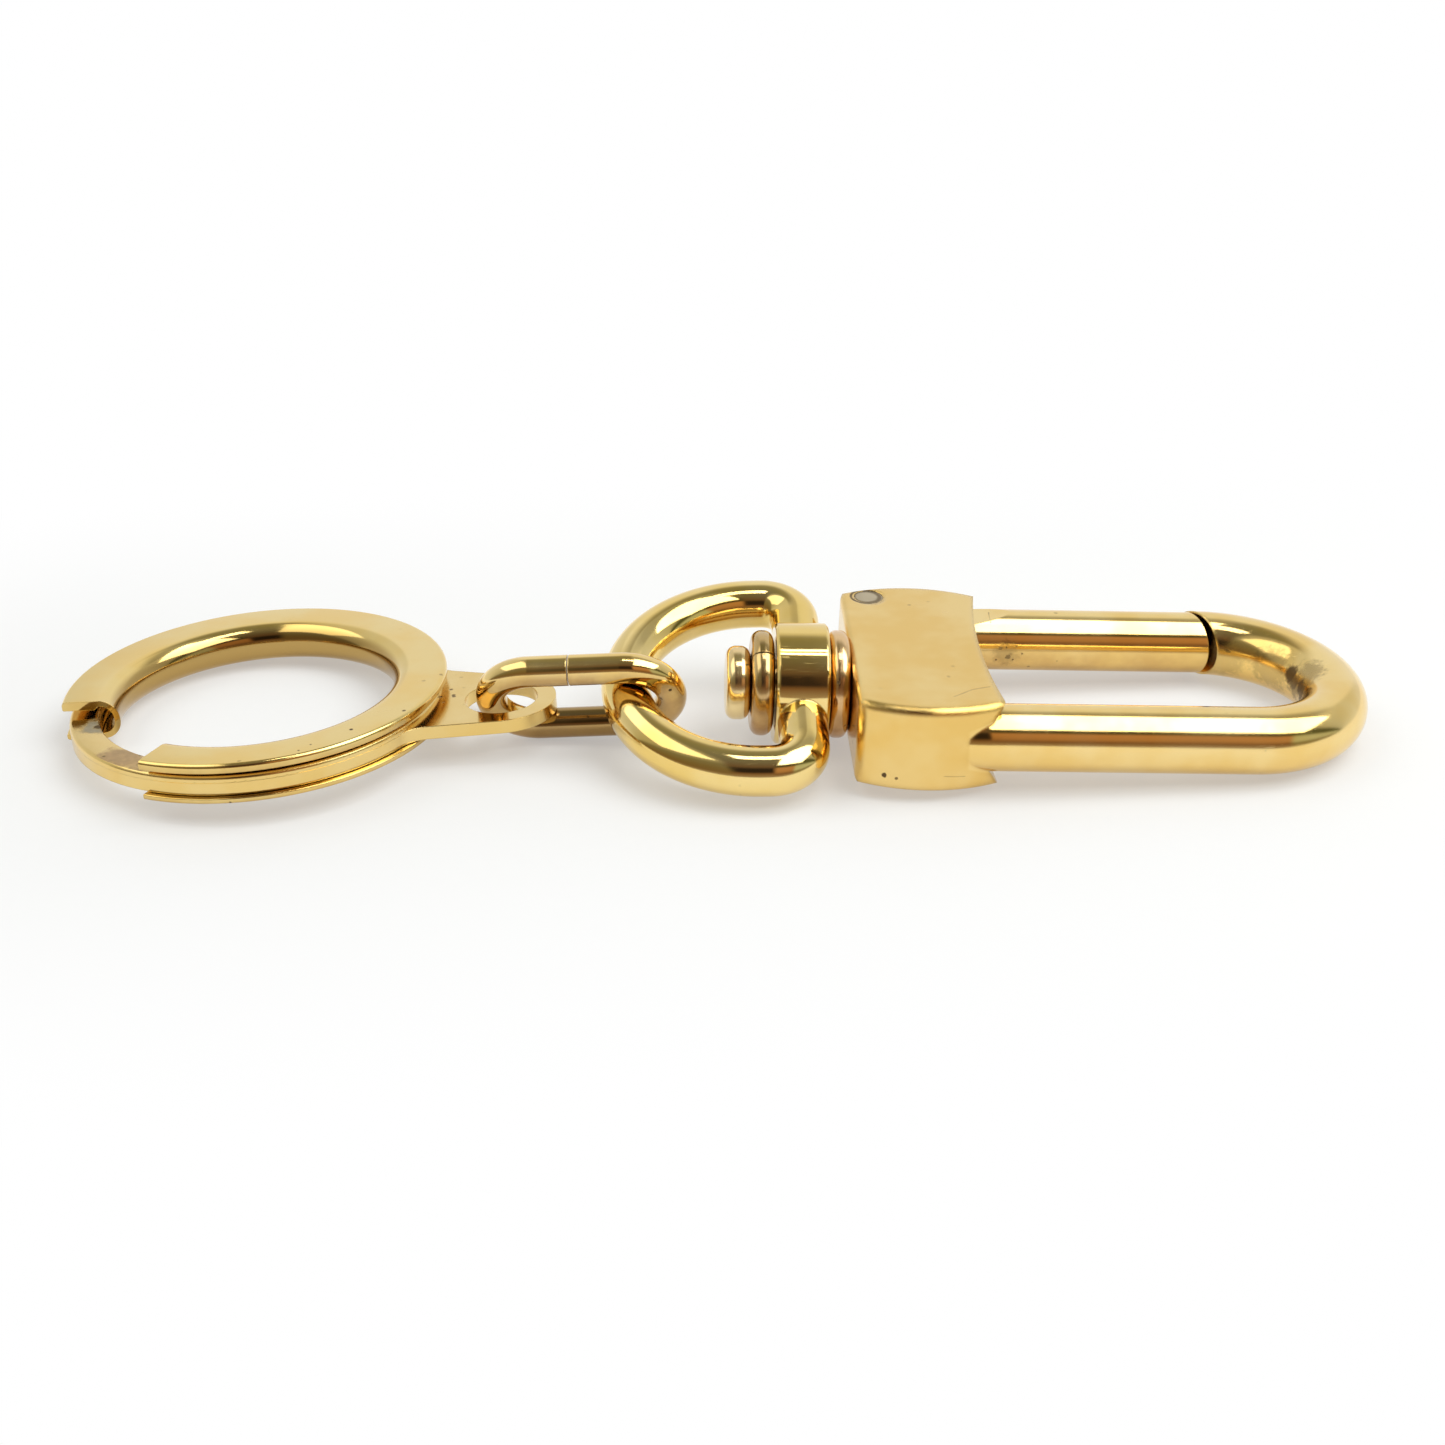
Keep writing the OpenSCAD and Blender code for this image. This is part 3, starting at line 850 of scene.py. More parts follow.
    def hairlines(self, surface: Surface) -> Socket:
        """Hairline scratches: long thin noise, two ways across each other, here and there.

        Args:
            surface: The surface they are in.

        Returns:
            0 to 1.
        """
        lines = []
        for turn, stretch in STROKES:
            way = {"Vector": surface.place, "Rotation": turn, "Scale": stretch}
            laid = {"Vector": surface.add("ShaderNodeMapping", way).outputs[0], "Scale": 1.0}
            stroke = surface.add("ShaderNodeTexNoise", laid).outputs[0]
            lines.append(surface.span(stroke, *STROKE_BAND, 0.0, 1.0))
        sparse = surface.span(surface.cloud(STROKE_FIELD), *STROKE_FIELD_BAND, 0.0, 1.0)
        return surface.times(surface.maths("MAXIMUM", *lines), sparse)

    def specks(self, surface: Surface) -> Socket:
        """Corrosion specks: few, small, in patches.

        Args:
            surface: The surface they are in.

        Returns:
            0 to speckle.
        """
        look = {"Vector": surface.place, "Scale": self.speck_scale, "Randomness": 1.0}
        cell = surface.add("ShaderNodeTexVoronoi", look).outputs["Distance"]
        patch = surface.span(surface.cloud(SPECK_FIELD), *SPECK_FIELD_BAND, 0.0, self.speckle)
        return surface.times(surface.span(cell, *SPECK_BAND, 1.0, 0.0), patch)


# ---- the studio ----


@dataclass(frozen=True)
class Softbox:
    """One broad lamp over the table, facing straight down."""

    name: str
    middle: tuple[float, float]
    size: tuple[float, float]
    glow: float
    tint: Colour
    height: float = 0.5

    def build(self) -> None:
        """Hangs the lamp."""
        data = bpy.data.lights.new(self.name, "AREA")
        data.shape = "RECTANGLE"
        data.size, data.size_y = self.size
        data.energy = self.glow * math.pi * self.size[0] * self.size[1]
        data.color = self.tint
        lamp = placed(self.name, data)
        lamp.location = (*self.middle, self.height)
        log.info("%s hung", self.name)


@dataclass(frozen=True)
class RoomSide:
    """One side of the room: it starts at one value of X, is whole at another, and has its own ramp."""

    starts: float
    whole: float
    stops: Stops


BACKDROP: Stops = [(0.0, (0.88, 0.90, 0.95)), (0.22, (0.88, 0.90, 0.94))]
ROOM_MIDDLE: Stops = BACKDROP + [
    (0.26, (0.68, 0.68, 0.66)),
    (0.30, (0.36, 0.36, 0.33)),
    (0.325, (0.30, 0.29, 0.21)),
    (0.37, (0.25, 0.25, 0.18)),
    (0.52, (0.20, 0.20, 0.18)),
    (0.62, (0.17, 0.16, 0.14)),
    (0.74, (0.15, 0.10, 0.07)),
    (0.79, (0.03, 0.022, 0.018)),
    (0.87, (0.03, 0.02, 0.016)),
    (0.91, (0.20, 0.11, 0.06)),
    (1.0, (0.36, 0.29, 0.23)),
]
ROOM_RIGHT: Stops = BACKDROP + [
    (0.26, (0.86, 0.88, 0.90)),
    (0.33, (0.42, 0.43, 0.42)),
    (0.42, (0.40, 0.41, 0.40)),
    (0.62, (0.22, 0.21, 0.17)),
    (0.68, (0.09, 0.085, 0.05)),
    (0.755, (0.09, 0.08, 0.045)),
    (0.785, (0.50, 0.27, 0.14)),
    (0.87, (0.44, 0.24, 0.12)),
    (0.93, (0.20, 0.11, 0.06)),
    (1.0, (0.40, 0.33, 0.27)),
]
ROOM_LEFT: Stops = [
    (0.0, (0.80, 0.81, 0.82)),
    (0.22, (0.70, 0.71, 0.70)),
    (0.36, (0.62, 0.63, 0.60)),
    (0.64, (0.46, 0.46, 0.42)),
    (0.72, (0.22, 0.21, 0.16)),
    (0.84, (0.20, 0.16, 0.09)),
    (0.93, (0.20, 0.14, 0.08)),
    (1.0, (0.40, 0.34, 0.28)),
]
ROOM_FAR_RIGHT: Stops = [
    (0.0, (0.80, 0.82, 0.85)),
    (0.58, (0.50, 0.52, 0.48)),
    (0.66, (0.10, 0.11, 0.06)),
    (0.74, (0.12, 0.13, 0.07)),
    (0.79, (0.50, 0.55, 0.46)),
    (0.88, (0.52, 0.56, 0.48)),
    (0.94, (0.22, 0.20, 0.12)),
    (1.0, (0.45, 0.42, 0.34)),
]


@dataclass(frozen=True)
class Studio:
    """White table and backdrop under soft lamps and strips, with the dim room behind the camera.

    Sizes are metres.
    """

    lamps: tuple[Softbox, ...] = (
        Softbox("soft_lamp_right", (0.405, -0.11), (0.57, 0.53), 3.5, (0.97, 0.99, 1.0)),
        Softbox("strip_front", (0.05, -0.052), (0.17, 0.032), 6.0, (1.0, 1.0, 1.0)),
        Softbox("strip_back", (0.05, 0.014), (0.17, 0.038), 5.0, (1.0, 1.0, 1.0)),
        Softbox("soft_lamp_left", (-0.44, -0.01), (0.54, 0.52), 1.1, (1.0, 0.99, 0.93)),
    )
    sides: tuple[RoomSide, ...] = (
        RoomSide(0.11, 0.20, ROOM_RIGHT),
        RoomSide(-0.20, -0.34, ROOM_LEFT),
        RoomSide(0.58, 0.68, ROOM_FAR_RIGHT),
    )
    white: Colour = (1.0, 1.0, 1.0)
    floor_white: Colour = (0.86, 0.868, 0.872)
    floor_half: float = 6.0
    grain_scale: float = 900.0
    grain_lift: float = 0.015
    keyring_half: float = 0.045
    near: float = 0.010
    far: float = 0.050
    lift: float = 0.38

    def floor(self) -> Piece:
        """The table top: near the keyring, where its shadow lies, it glows in part, a painted light that pales the
        shadow; beyond, it pales to white.

        Returns:
            A broad plane at z = 0, marked as stage.
        """
        half = self.floor_half
        corners = [(-half, -half, 0.0), (half, -half, 0.0), (half, half, 0.0), (-half, half, 0.0)]
        mesh = bpy.data.meshes.new("table")
        mesh.from_pydata(corners, [], [(0, 1, 2, 3)])
        table = placed("table", mesh)
        mesh.materials.append(self.table_paint())
        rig.stage(table)
        return table

    def table_paint(self) -> bpy.types.Material:
        """The table's white.

        Returns:
            A matt white with a fine grain, which glows white away from the keyring and glows in part near it, a painted
            light over its shadow.
        """
        paint = bpy.data.materials.new("white_table")
        paint.use_nodes = True
        bench = NodeBench(paint.node_tree)
        place = bench.add("ShaderNodeTexCoord").outputs["Object"]
        look = {"Vector": place, "Scale": self.grain_scale, "Detail": 2.0}
        grain = bench.add("ShaderNodeTexNoise", look).outputs[0]
        lifted = tuple(c + self.grain_lift for c in self.floor_white)
        white = bench.mix(grain, opaque(self.floor_white), opaque(lifted))
        cloth = bench.add("ShaderNodeBsdfDiffuse", {"Color": white})
        parts = bench.add("ShaderNodeSeparateXYZ", {0: place}).outputs
        beside = bench.maths("SUBTRACT", bench.maths("ABSOLUTE", parts["X"]), self.keyring_half)
        beside = bench.maths("MAXIMUM", beside, 0.0)
        squares = bench.maths("ADD", bench.times(beside, beside), bench.times(parts["Y"], parts["Y"]))
        # painted light: seen straight on or in the metal, the table glows at the share lift near the keyring, which
        # pales its shadow, and glows wholly further out
        fade = bench.span(bench.maths("SQRT", squares), self.near, self.far, self.lift, 1.0)
        path = bench.add("ShaderNodeLightPath").outputs
        mirrored = bench.maths("MAXIMUM", path["Is Glossy Ray"], path["Is Transmission Ray"])
        looked_at = bench.maths("MAXIMUM", path["Is Camera Ray"], mirrored)
        glow = bench.add("ShaderNodeEmission", {"Color": opaque(self.white), "Strength": 1.0})
        shares = {0: bench.times(fade, looked_at), 1: cloth.outputs[0], 2: glow.outputs[0]}
        top = bench.add("ShaderNodeMixShader", shares)
        bench.add("ShaderNodeOutputMaterial", {"Surface": top.outputs[0]})
        return paint

    def room(self) -> None:
        """The light from all round: pale backdrop behind, dark ceiling, brown room on the camera's side.

        The ramps run from the backdrop's foot over the top to the floor behind the camera: one
        through the middle, where the camera stands, and the others to the sides of it.
        """
        world = bpy.data.worlds.new("room")
        bpy.context.scene.world = world
        world.use_nodes = True
        bench = NodeBench(world.node_tree)
        way = bench.add("ShaderNodeTexCoord").outputs["Generated"]
        parts = bench.add("ShaderNodeSeparateXYZ", {0: way}).outputs
        angle = bench.maths("ARCTAN2", parts["Z"], parts["Y"])
        turn = bench.maths("DIVIDE", angle, math.pi, clamp=True)
        colour = bench.ramp(turn, ROOM_MIDDLE)
        for side in self.sides:
            share = bench.span(parts["X"], side.starts, side.whole, 0.0, 1.0)
            colour = bench.mix(share, colour, bench.ramp(turn, side.stops))
        # seen straight on, the room is plain white from every side
        looked_at = bench.add("ShaderNodeLightPath").outputs["Is Camera Ray"]
        colour = bench.mix(looked_at, colour, opaque(self.white))
        glow = bench.add("ShaderNodeBackground", {"Color": colour, "Strength": 1.0})
        bench.add("ShaderNodeOutputWorld", {"Surface": glow.outputs[0]})

    def build(self) -> None:
        """Sets up table, room and lamps."""
        self.floor()
        self.room()
        for lamp in self.lamps:
            lamp.build()
        bpy.context.scene.view_settings.view_transform = "Standard"
        log.info("studio built")


# ---- the keyring ----


@dataclass
class Assembly:
    """A group of pieces that belong together, CAD nodes and those made here."""

    nodes: dict[str, Piece]
    points: ImagePoints

    def dress(self, name: str, finish: GoldPlate) -> None:
        """Gives a CAD piece a finish.

        Args:
            name: The CAD node.
            finish: Its finish.
        """
        piece = self.nodes[name]
        piece.data.materials.clear()
        piece.data.materials.append(finish.material())
        log.info("dressed %s with %s", name, finish.name)

    def mark(self, name: str, *pieces: Piece) -> Place:
        """The spot of a named image point on these pieces, in mm."""
        return tuple(self.points.place_on(name, *pieces) / MM)


@dataclass
class Hook(Assembly):
    """Block, arm and bow, with the gate, its pin and its spring. Places and sizes are mm."""

    block_satin: SatinZone = SatinZone(
        x_from=9.9,
        x_to=21.3,
        roughness=0.15,
        tint=(0.95, 0.91, 0.81),
        edge_mm=0.75,
        arm_from=(14.0, -11.86, 4.318),
        arm_to=(39.9, -11.86, 2.917),
        arm_radius_mm=2.56,
        root_x=18.2,
    )
    block_wear: tuple[Wear, ...] = (
        Blemish((13.12, -14.05, 2.03), 0.14, 0.8),
        Scratch((16.59, -14.26, 2.17), (18.08, -14.02, 1.98), 0.07, 0.35),
        Scratch((17.44, -12.04, 7.54), (18.9, -10.9, 7.46), 0.11, 0.3),
        Scratch((18.9, -10.9, 7.46), (20.22, -10.4, 7.39), 0.11, 0.3),
        Blemish((17.39, -8.87, 7.54), 0.22, 0.25),
        Blemish((17.9, -7.2, 7.51), 0.2, 0.2),
    )
    bow_wear: tuple[Wear, ...] = (
        Blemish((44.72, -2.38, 3.37), 1.0, 0.95),
        Blemish((44.85, -3.1, 3.0), 1.0, 0.85),
        Blemish((44.95, -5.0, 3.1), 0.9, 0.9),
        Blemish((45.1, -3.4, 2.9), 1.5, 0.6),
        Blemish((45.4, -4.2, 4.4), 1.9, 0.45),
        Blemish((43.6, -0.6, 2.9), 2.3, 0.35),
        Blemish((40.4, 1.8, 2.6), 2.2, 0.28),
        Scratch((40.68, 1.71, 3.55), (44.52, -2.07, 3.04), 0.2, 0.75),
    )
    gate_wear: tuple[Wear, ...] = (
        Blemish((23.3, 2.1, 3.7), 1.3, 0.3),
        Blemish((22.6, 2.2, 3.2), 0.16, 0.8),
        Blemish((23.35, 2.05, 4.25), 0.13, 0.8),
        Blemish((23.9, 2.1, 3.15), 0.15, 0.8),
        Blemish((24.6, 2.1, 3.7), 0.12, 0.7),
        Blemish((22.89, 2.07, 4.20), 0.22, 0.6),
        Blemish((23.69, 2.04, 3.66), 0.26, 0.5),
        Blemish((24.15, 2.11, 4.31), 0.14, 0.6),
        Blemish((25.23, 2.49, 2.32), 0.16, 0.5),
        Blemish((27.4, 2.2, 2.9), 0.12, 0.5),
        Scratch((22.25, 4.82, 6.04), (22.19, 3.21, 5.94), 0.09, 0.5),
    )
    seam_top: Place = (0.0, 0.0, 0.9)
    seam_foot: Place = (-0.1, 0.75, -1.9)

    def build(self) -> None:
        """Dresses the hook's pieces and makes the spring."""
        gate = self.nodes["gate"]
        low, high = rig.box("gate_pin")
        pin_top = ((low.x + high.x) / 2 / MM, (low.y + high.y) / 2 / MM, high.z / MM)
        self.dress("hook_frame", self.frame_finish(pin_top))
        self.dress("gate", self.gate_finish())
        self.dress("gate_pin", self.pin_finish(pin_top))
        self.dress("gate_spring", GoldPlate("spring_wire", warm=(0.6, 0.6, 0.6), pale=(0.65, 0.65, 0.66)))
        self.coil_spring()
        self.points.mark_at("hinge_pin", Vector(pin_top) * MM)
        self.points.mark_edge("gate_tip", gate, 1.0)

    def frame_finish(self, pin_top: Place) -> GoldPlate:
        """The finish of block, arm and bow.

        Args:
            pin_top: The middle of the hinge pin's top.

        Returns:
            Bright gold, satin on the block, with its nicks, scratches and tarnish.
        """
        frame = self.nodes["hook_frame"]
        seam = self.mark("arm_seam", frame)
        return GoldPlate(
            "cast_gold_hook",
            edge_mm=0.32,
            # painted shade: darker, coppery sides facing down
            underside_shade=0.12,
            satin=self.block_satin,
            wear=(
                Blemish(self.mark("block_nick", frame), 0.22),
                *self.block_wear,
                Blemish(self.mark("bow_tarnish", frame), 0.9, 0.95),
                *self.bow_wear,
                Scratch(shifted(seam, self.seam_top), shifted(seam, self.seam_foot), 0.05, 0.4),
                DarkRim(pin_top, 1.2, 0.16),
            ),
        )

    def gate_finish(self) -> GoldPlate:
        """The gate's finish: darker and coppery underneath, partly painted shade; pitted near its hinge."""
        pits = Blemish(self.mark("gate_pitting", self.nodes["gate"]), 0.32, 0.75)
        return GoldPlate("gate_gold_plate", underside_shade=0.75, wear=(pits, *self.gate_wear))

    def pin_finish(self, pin_top: Place) -> GoldPlate:
        """The hinge pin's finish.

        Args:
            pin_top: The middle of the pin's top.

        Returns:
            Plating worn to a greyish metal, with a dark ring round the edge.
        """
        return GoldPlate(
            "worn_pin",
            warm=(0.46, 0.37, 0.22),
            pale=(0.64, 0.54, 0.36),
            roughness=0.25,
            roughness_worn=0.4,
            edge_mm=0.3,
            wear=(DarkRim(pin_top, 1.05, 0.3, 0.7),),
        )

    def coil_spring(self) -> Piece:
        """Makes the spring that the gate's tongue presses; it shortens along Y as the gate opens.

        Returns:
            The spring, in place of the stiff CAD one.
        """
        low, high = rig.box("gate_spring")
        spring = placed("coil_spring", self.nodes["gate_spring"].data.copy())
        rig.ride(spring, Body.HOOK.value)
        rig.replaces(spring, "gate_spring")
        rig.slot(spring, "spring_steel")
        foot = ((low.x + high.x) / 2, low.y, (low.z + high.z) / 2)
        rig.squash(spring, "gate_hinge", (0.0, 1.0, 0.0), foot, keep=0.74)
        log.info("%s made", spring.name)
        return spring


@dataclass
class Swivel(Assembly):
    """Pin head, split washer and collar, and the shackle that turns on them."""

    head: GoldPlate = GoldPlate(
        "swivel_head_gold",
        warm=(0.84, 0.60, 0.27),
        pale=(0.92, 0.73, 0.38),
        roughness=0.12,
        roughness_worn=0.22,
        corner_shade=0.5,
        ripple=0.3,
    )
    washer: GoldPlate = GoldPlate(
        "split_washer_gold",
        warm=(0.6, 0.405, 0.16),
        pale=(0.74, 0.53, 0.24),
        # painted shade: darker, coppery sides facing down
        shade_copper=(0.42, 0.22, 0.08),
        underside_shade=0.9,
        roughness=0.12,
        roughness_worn=0.22,
        corner_shade=0.6,
        ripple=0.3,
    )
    collar: GoldPlate = GoldPlate(
        "coppery_collar",
        warm=(0.78, 0.50, 0.235),
        pale=(0.83, 0.56, 0.28),
        # painted shade: darker, coppery sides facing down
        shade_copper=(0.46, 0.24, 0.10),
        underside_shade=0.9,
        roughness=0.12,
        roughness_worn=0.2,
        corner_shade=0.7,
        ripple=0.2,
        wear=(Blemish((9.41, -7.29, 6.53), 0.14, 0.9),),
    )
    shackle: GoldPlate = GoldPlate(
        "shackle_gold",
        warm=(0.88, 0.63, 0.20),
        pale=(0.92, 0.70, 0.29),
        roughness=0.05,
        roughness_worn=0.09,
        ripple=0.12,
        edge_mm=0.2,
    )

    def build(self) -> None:
        """Dresses the swivel and its shackle."""
        self.dress("swivel_pin", self.head)
        self.dress("swivel_split_washer", self.washer)
        self.dress("swivel_collar", self.collar)
        self.dress("shackle", self.shackle)
        self.points.mark_edge("head_left", self.nodes["swivel_pin"], -1.0)


@dataclass
class RingFrame:
    """The key ring's own axes: its middle, the way to the tab's hole, and its turning axis."""

    middle: Vector
    along: Vector
    across: Vector
    axis: Vector

    @classmethod
    def of(cls, joints: list[dict]) -> "RingFrame":
        """Takes the axes from the joints that the ring turns on.

        Args:
            joints: The frame's joints.

        Returns:
            The ring's axes at rest.
        """
        by_name = {joint["name"]: joint for joint in joints}
        middle = Vector(by_name["sleeve_turn"]["pos_m"])
        axis = Vector(by_name["sleeve_turn"]["axis"]).normalized()
        reach = Vector(by_name["ring_swing"]["pos_m"]) - middle
        along = (reach - axis * reach.dot(axis)).normalized()
        return cls(middle, along, axis.cross(along), axis)

    def at(self, radius: float, angle: float, height: float) -> Vector:
        """A place by the ring.

        Args:
            radius: From the ring's axis, in mm.
            angle: From the tab, in degrees.
            height: Along the axis, in mm.

        Returns:
            The place in the shared frame, in metres.
        """
        turn = math.radians(angle)
        flat = self.along * math.cos(turn) + self.across * math.sin(turn)
        return self.middle + (flat * radius + self.axis * height) * MM


def arc(middle: tuple[float, float], radius: float, start: float, end: float, steps: int = 8) -> Section:
    """Points on an arc, from start to end degrees."""
    turns = (math.radians(start + (end - start) * i / steps) for i in range(steps + 1))
    return [(middle[0] + radius * math.cos(t), middle[1] + radius * math.sin(t)) for t in turns]


def swept(name: str, rows: list[list[Vector]], sharp: float = 35.0) -> Piece:
    """A closed section carried along a path, with both ends capped.

    Args:
        name: The piece's name.
        rows: The section's points at each step.
        sharp: Edges that turn by more degrees than this stay sharp.

    Returns:
        The piece, smooth but for its sharp edges.
    """
    mesh = bpy.data.meshes.new(name)
    count = len(rows[0])
    last = (len(rows) - 1) * count
    faces: list[tuple[int, ...]] = []
    for here in range(0, last, count):
        there = here + count
        for i in range(count):
            j = (i + 1) % count
            faces.append((here + i, here + j, there + j, there + i))
    faces.append(tuple(reversed(range(count))))
    faces.append(tuple(last + i for i in range(count)))
    mesh.from_pydata([tuple(v) for row in rows for v in row], [], faces)
    work = bmesh.new()
    work.from_mesh(mesh)
    bmesh.ops.recalc_face_normals(work, faces=work.faces)
    work.to_mesh(mesh)
    work.free()
    for face in mesh.polygons:
        face.use_smooth = True
    mesh.set_sharp_from_angle(angle=math.radians(sharp))
    log.info("%s made", name)
    return placed(name, mesh)


@dataclass
class TurningSleeve:
    """The C-shaped sleeve round the flat ring: rolled inside, with a full rounded lip on top.

    Sizes are millimetres; angles are degrees from the tab.
    """

    frame: RingFrame
    outer_r: float = 14.75
    bore_r: float = 10.5
    half: float = 1.575
    roll_r: float = 1.5
    wall: float = 0.45
    lip: float = 0.74
    lip_round: float = 0.34
    lip_edge: float = 0.14
    foot_round: float = 0.2
    foot_edge: float = 0.08
    seat: float = 0.35
    cut_from: float = 203.5
    cut_to: float = 255.5
    cut_skew: float = 14.0
    steps: int = 220
    roll_steps: int = 14

    def section(self) -> Section:
        """The C.

        Returns:
            Its outline as radius and height, from the lip's outer edge round the roll and back inside.
        """
        roll = self.bore_r + self.roll_r
        inner = self.half - self.lip
        throat = self.half - self.wall
        hollow = self.roll_r - self.wall
        lip_r = self.outer_r - self.lip_round
        foot_r = self.outer_r - self.foot_round
        out = arc((lip_r, self.half - self.lip_round), self.lip_round, 0.0, 90.0)
        out += arc((roll, self.half - self.roll_r), self.roll_r, 90.0, 180.0, self.roll_steps)
        out += arc((roll, self.roll_r - self.half), self.roll_r, 180.0, 270.0, self.roll_steps)
        out += arc((foot_r, self.foot_round - self.half), self.foot_round, -90.0, 0.0)
        edge = self.foot_edge
        out += arc((self.outer_r - edge, -throat - edge), edge, 0.0, 90.0, 4)
        out += arc((roll, self.roll_r - self.half), hollow, 270.0, 180.0)
        out += arc((roll, self.half - self.roll_r), hollow, 180.0, 90.0)
        out += [(roll + self.seat, inner)]
        out += arc((self.outer_r - self.lip_edge, inner + self.lip_edge), self.lip_edge, -90.0, 0.0, 4)
        return out

    def first_cut(self, radius: float) -> float:
        """Where the slanting cut stands: a straight line, skewed from the radius at the bore.

        Args:
            radius: From the ring's axis.

        Returns:
            Its angle there, in degrees.
        """
        start = math.radians(self.cut_from)
        way = math.radians(self.cut_from - self.cut_skew)
        reach = self.bore_r * math.cos(math.radians(self.cut_skew))
        run = -reach + math.sqrt(reach**2 - self.bore_r**2 + radius**2)
        x = self.bore_r * math.cos(start) + run * math.cos(way)
        y = self.bore_r * math.sin(start) + run * math.sin(way)
        return math.degrees(math.atan2(y, x)) % 360.0

    def build(self) -> Piece:
        """Makes the sleeve, in place of the plain CAD one.

        Returns:
            The sleeve.
        """
        section = self.section()
        rows = []
        for step in range(self.steps + 1):
            share = step / self.steps
            row = []
            for radius, height in section:
                first, last = self.cut_to - 360.0, self.first_cut(radius)
                row.append(self.frame.at(radius, first + (last - first) * share, height))
            rows.append(row)
        sleeve = swept("turning_sleeve", rows)
        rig.ride(sleeve, Body.SLEEVE.value)
        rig.replaces(sleeve, "ring_sleeve")
        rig.slot(sleeve, "sleeve_gold")
        return sleeve


@dataclass
class FlatRingRim:
    """The flat ring's thicker rim, rounded on top.

    It lies in the sleeve's channel, stops at the ring's split, and sinks into the flat ring at both
    ends, where sunk is left of its height. Sizes are millimetres; angles are degrees from the tab.
    """

    frame: RingFrame
    inner_r: float = 12.08
    outer_r: float = 14.3
    foot: float = -0.1
    top: float = 0.46
    sunk: float = 0.06
    edge_round: float = 0.34
    edge_share: float = 0.9
    inner_sharper: float = 3.0
    start: float = 137.5
    end: float = 458.5
    taper: float = 9.0
    steps: int = 240

    def section(self, angle: float) -> Section:
        """The rim's outline at an angle.

        Args:
            angle: From the tab.

        Returns:
            Radius and height of its points, from the foot's inside round the outside.
        """
        near_end = min(angle - self.start, self.end - angle) / self.taper
        rise = math.sin(min(near_end, 1.0) * math.pi / 2)
        top = self.foot + self.sunk + (self.top - self.foot - self.sunk) * rise
        outer = min(self.edge_round, (top - self.foot) * self.edge_share)
        inner = outer / self.inner_sharper
        out = [(self.inner_r, self.foot), (self.outer_r, self.foot)]
        out += arc((self.outer_r - outer, top - outer), outer, 0.0, 90.0)
        out += arc((self.inner_r + inner, top - inner), inner, 90.0, 180.0, 4)
        return out

    def build(self) -> Piece:
        """Makes the rim.

        Returns:
            The rim.
        """
        rows = []
        for step in range(self.steps + 1):
            angle = self.start + (self.end - self.start) * step / self.steps
            rows.append([self.frame.at(radius, angle, height) for radius, height in self.section(angle)])
        rim = swept("flat_ring_rim", rows)
        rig.ride(rim, Body.PLATE.value)
        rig.slot(rim, "plate_gold")
        return rim


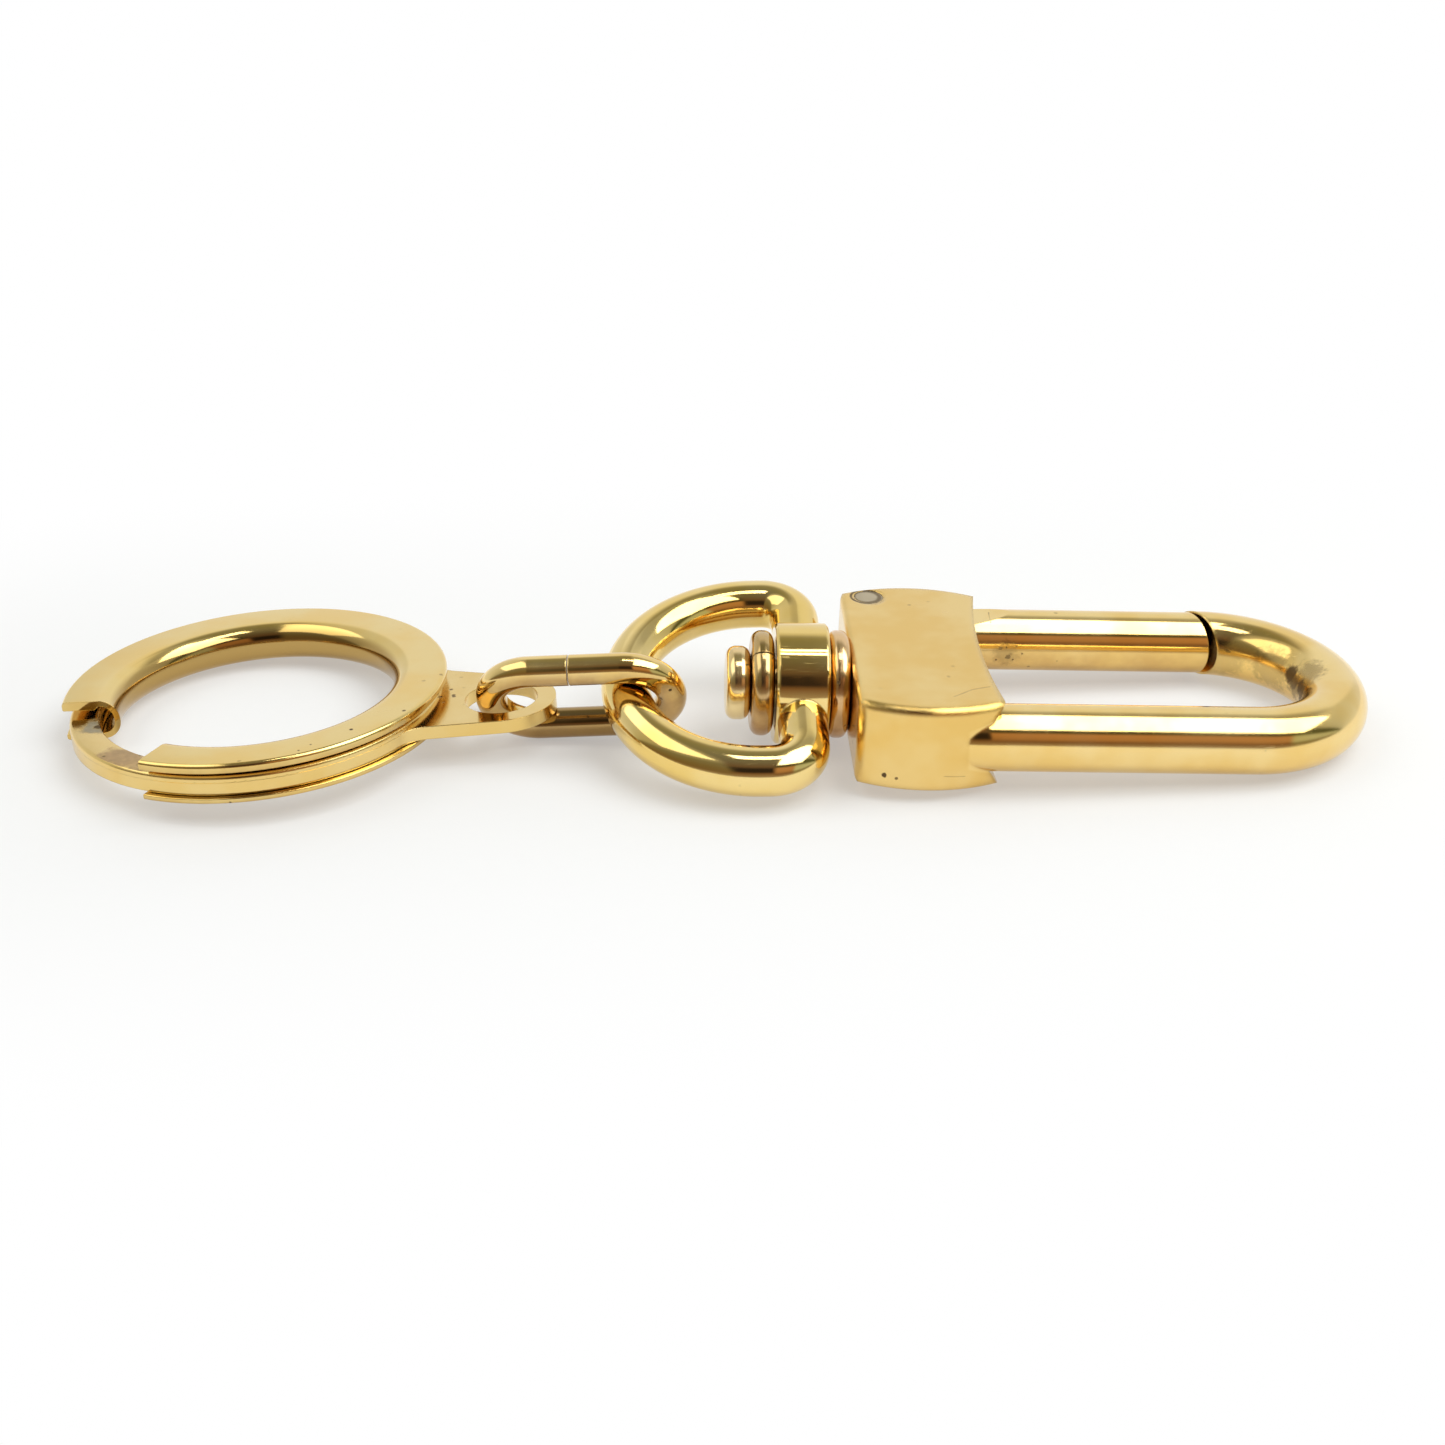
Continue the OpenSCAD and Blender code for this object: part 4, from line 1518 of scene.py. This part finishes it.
@dataclass
class Ring(Assembly):
    """Jump link, flat ring with its tab, and the sleeve that turns over it. Places and sizes are mm."""

    joints: list[dict]
    # painted shade along the link's lower side
    link_shade: ShadeZone = ShadeZone(
        axis_from=(-12.4, -2.36, 1.31),
        axis_to=(-6.7, -2.88, 1.61),
        radius_mm=1.2,
        fade_mm=1.6,
        depth=0.9,
        colour=(0.34, 0.21, 0.08),
    )
    link_wear: Wear = Blemish((-3.85, -5.88, 4.95), 0.25, 0.6)
    rim_wear: tuple[Wear, ...] = (
        Blemish((-44.1, -10.8, 2.6), 0.15, 0.9),
        Blemish((-47.6, -5.9, 2.4), 0.16, 0.9),
    )
    sleeve_wear: tuple[Wear, ...] = (
        Blemish((-29.30, -11.62, 5.15), 0.12, 0.7),
        Blemish((-30.05, -12.51, 5.18), 0.13, 0.8),
        Blemish((-35.05, -14.29, 2.07), 0.14, 0.9),
    )
    axis_reach: float = 5.0

    def build(self) -> None:
        """Makes the sleeve and the ring's rim, and dresses them, the link and the ring."""
        frame = RingFrame.of(self.joints)
        sleeve = TurningSleeve(frame).build()
        rim = FlatRingRim(frame).build()
        link, plate = self.nodes["jump_link"], self.nodes["ring_plate"]
        self.dress("jump_link", self.link_finish())
        flat = self.flat_finish(rim, plate, sleeve)
        self.dress("ring_plate", flat)
        rim.data.materials.append(bpy.data.materials[flat.name])
        rolled = self.sleeve_finish(frame, sleeve)
        self.dress("ring_sleeve", rolled)
        sleeve.data.materials.append(bpy.data.materials[rolled.name])
        self.points.mark_edge("tab_tip", plate, 1.0)
        self.points.mark_near("link_slit", link)

    def link_finish(self) -> GoldPlate:
        """The jump link's finish.

        Returns:
            Gold, bright above and painted darker along its lower side as shade, with two pits.
        """
        return GoldPlate(
            "link_gold_plate",
            # painted shade: darker, coppery sides facing down
            underside_shade=0.85,
            shade_copper=(0.46, 0.28, 0.11),
            corner_shade=0.6,
            roughness=0.06,
            roughness_worn=0.12,
            shade_zone=self.link_shade,
            wear=(Blemish(self.mark("link_pit", self.nodes["jump_link"]), 0.17), self.link_wear),
        )

    def flat_finish(self, *pieces: Piece) -> GoldPlate:
        """The flat ring's finish, scuffed where the sleeve leaves it bare.

        Args:
            pieces: What may show at the scuffs' image points.

        Returns:
            Duller gold with three scuffs and the dark spots in them.
        """
        dark = self.mark("scuff_dark", *pieces)
        rosy = self.mark("scuff_rosy", *pieces)
        return GoldPlate(
            "flat_ring_gold",
            warm=(0.82, 0.57, 0.19),
            pale=(0.86, 0.64, 0.26),
            roughness=0.12,
            roughness_worn=0.24,
            speckle=0.9,
            scuffs=(
                Scuff(dark, 1.7, (0.36, 0.32, 0.23)),
                Scuff(rosy, 2.2, (0.46, 0.30, 0.15)),
                Scuff(shifted(rosy, (1.8, -1.6, 0.0)), 1.5, (0.52, 0.35, 0.17), 0.8),
            ),
            wear=(
                Blemish(dark, 0.55, 0.95),
                Blemish(shifted(dark, (0.6, -0.7, 0.0)), 0.4, 0.9),
                Blemish(shifted(dark, (0.1, 0.8, 0.0)), 0.4, 0.9),
                Blemish(shifted(rosy, (-1.4, 0.3, 0.0)), 0.2, 0.85),
                Blemish(shifted(rosy, (1.4, -1.5, 0.0)), 0.24, 0.85),
                Blemish(shifted(rosy, (1.3, 0.1, 0.0)), 0.2, 0.8),
                *self.rim_wear,
            ),
        )

    def sleeve_finish(self, frame: RingFrame, sleeve: Piece) -> GoldPlate:
        """The sleeve's finish, with painted shade on its inner wall.

        Args:
            frame: The ring's axes.
            sleeve: The sleeve.

        Returns:
            Gold with an inner wall painted darker as shade, and a few specks.
        """
        # painted shade: the inner wall, near the ring's axis, turns darker brown
        wall = ShadeZone(
            axis_from=tuple(frame.at(0.0, 0.0, -self.axis_reach) / MM),
            axis_to=tuple(frame.at(0.0, 0.0, self.axis_reach) / MM),
            radius_mm=10.65,
            fade_mm=0.55,
            depth=0.95,
            colour=(0.47, 0.305, 0.1),
        )
        return GoldPlate(
            "sleeve_gold_plate",
            shade_zone=wall,
            warm=(0.86, 0.60, 0.195),
            pale=(0.86, 0.65, 0.26),
            # painted shade: darker, coppery sides facing down
            shade_copper=(0.55, 0.36, 0.13),
            underside_shade=0.8,
            roughness=0.09,
            roughness_worn=0.15,
            edge_mm=0.08,
            wear=(
                Blemish(self.mark("sleeve_speck", sleeve), 0.2),
                Blemish(self.mark("sleeve_nick", sleeve), 0.2, 0.8),
                *self.sleeve_wear,
            ),
        )


def main() -> None:
    """Builds the scene in order: frame, camera, studio, then the keyring's assemblies."""
    logging.basicConfig(level=logging.INFO, format="%(message)s")
    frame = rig.load()
    cad_box = [list(corner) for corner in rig.bounds()]
    camera = PhotoCamera()
    camera.build()
    Studio().build()
    points = ImagePoints(camera)
    nodes = frame["nodes"]
    for assembly in (Hook(nodes, points), Swivel(nodes, points), Ring(nodes, points, frame["joints"])):
        assembly.build()
        log.info("%s built", type(assembly).__name__)
    points.write([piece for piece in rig.pieces() if piece.type == "MESH"], "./points.json")
    with open("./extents.json", "w") as handle:
        json.dump({"cad": cad_box, "visual": [list(corner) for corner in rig.bounds()]}, handle)


if __name__ == "__main__":
    main()
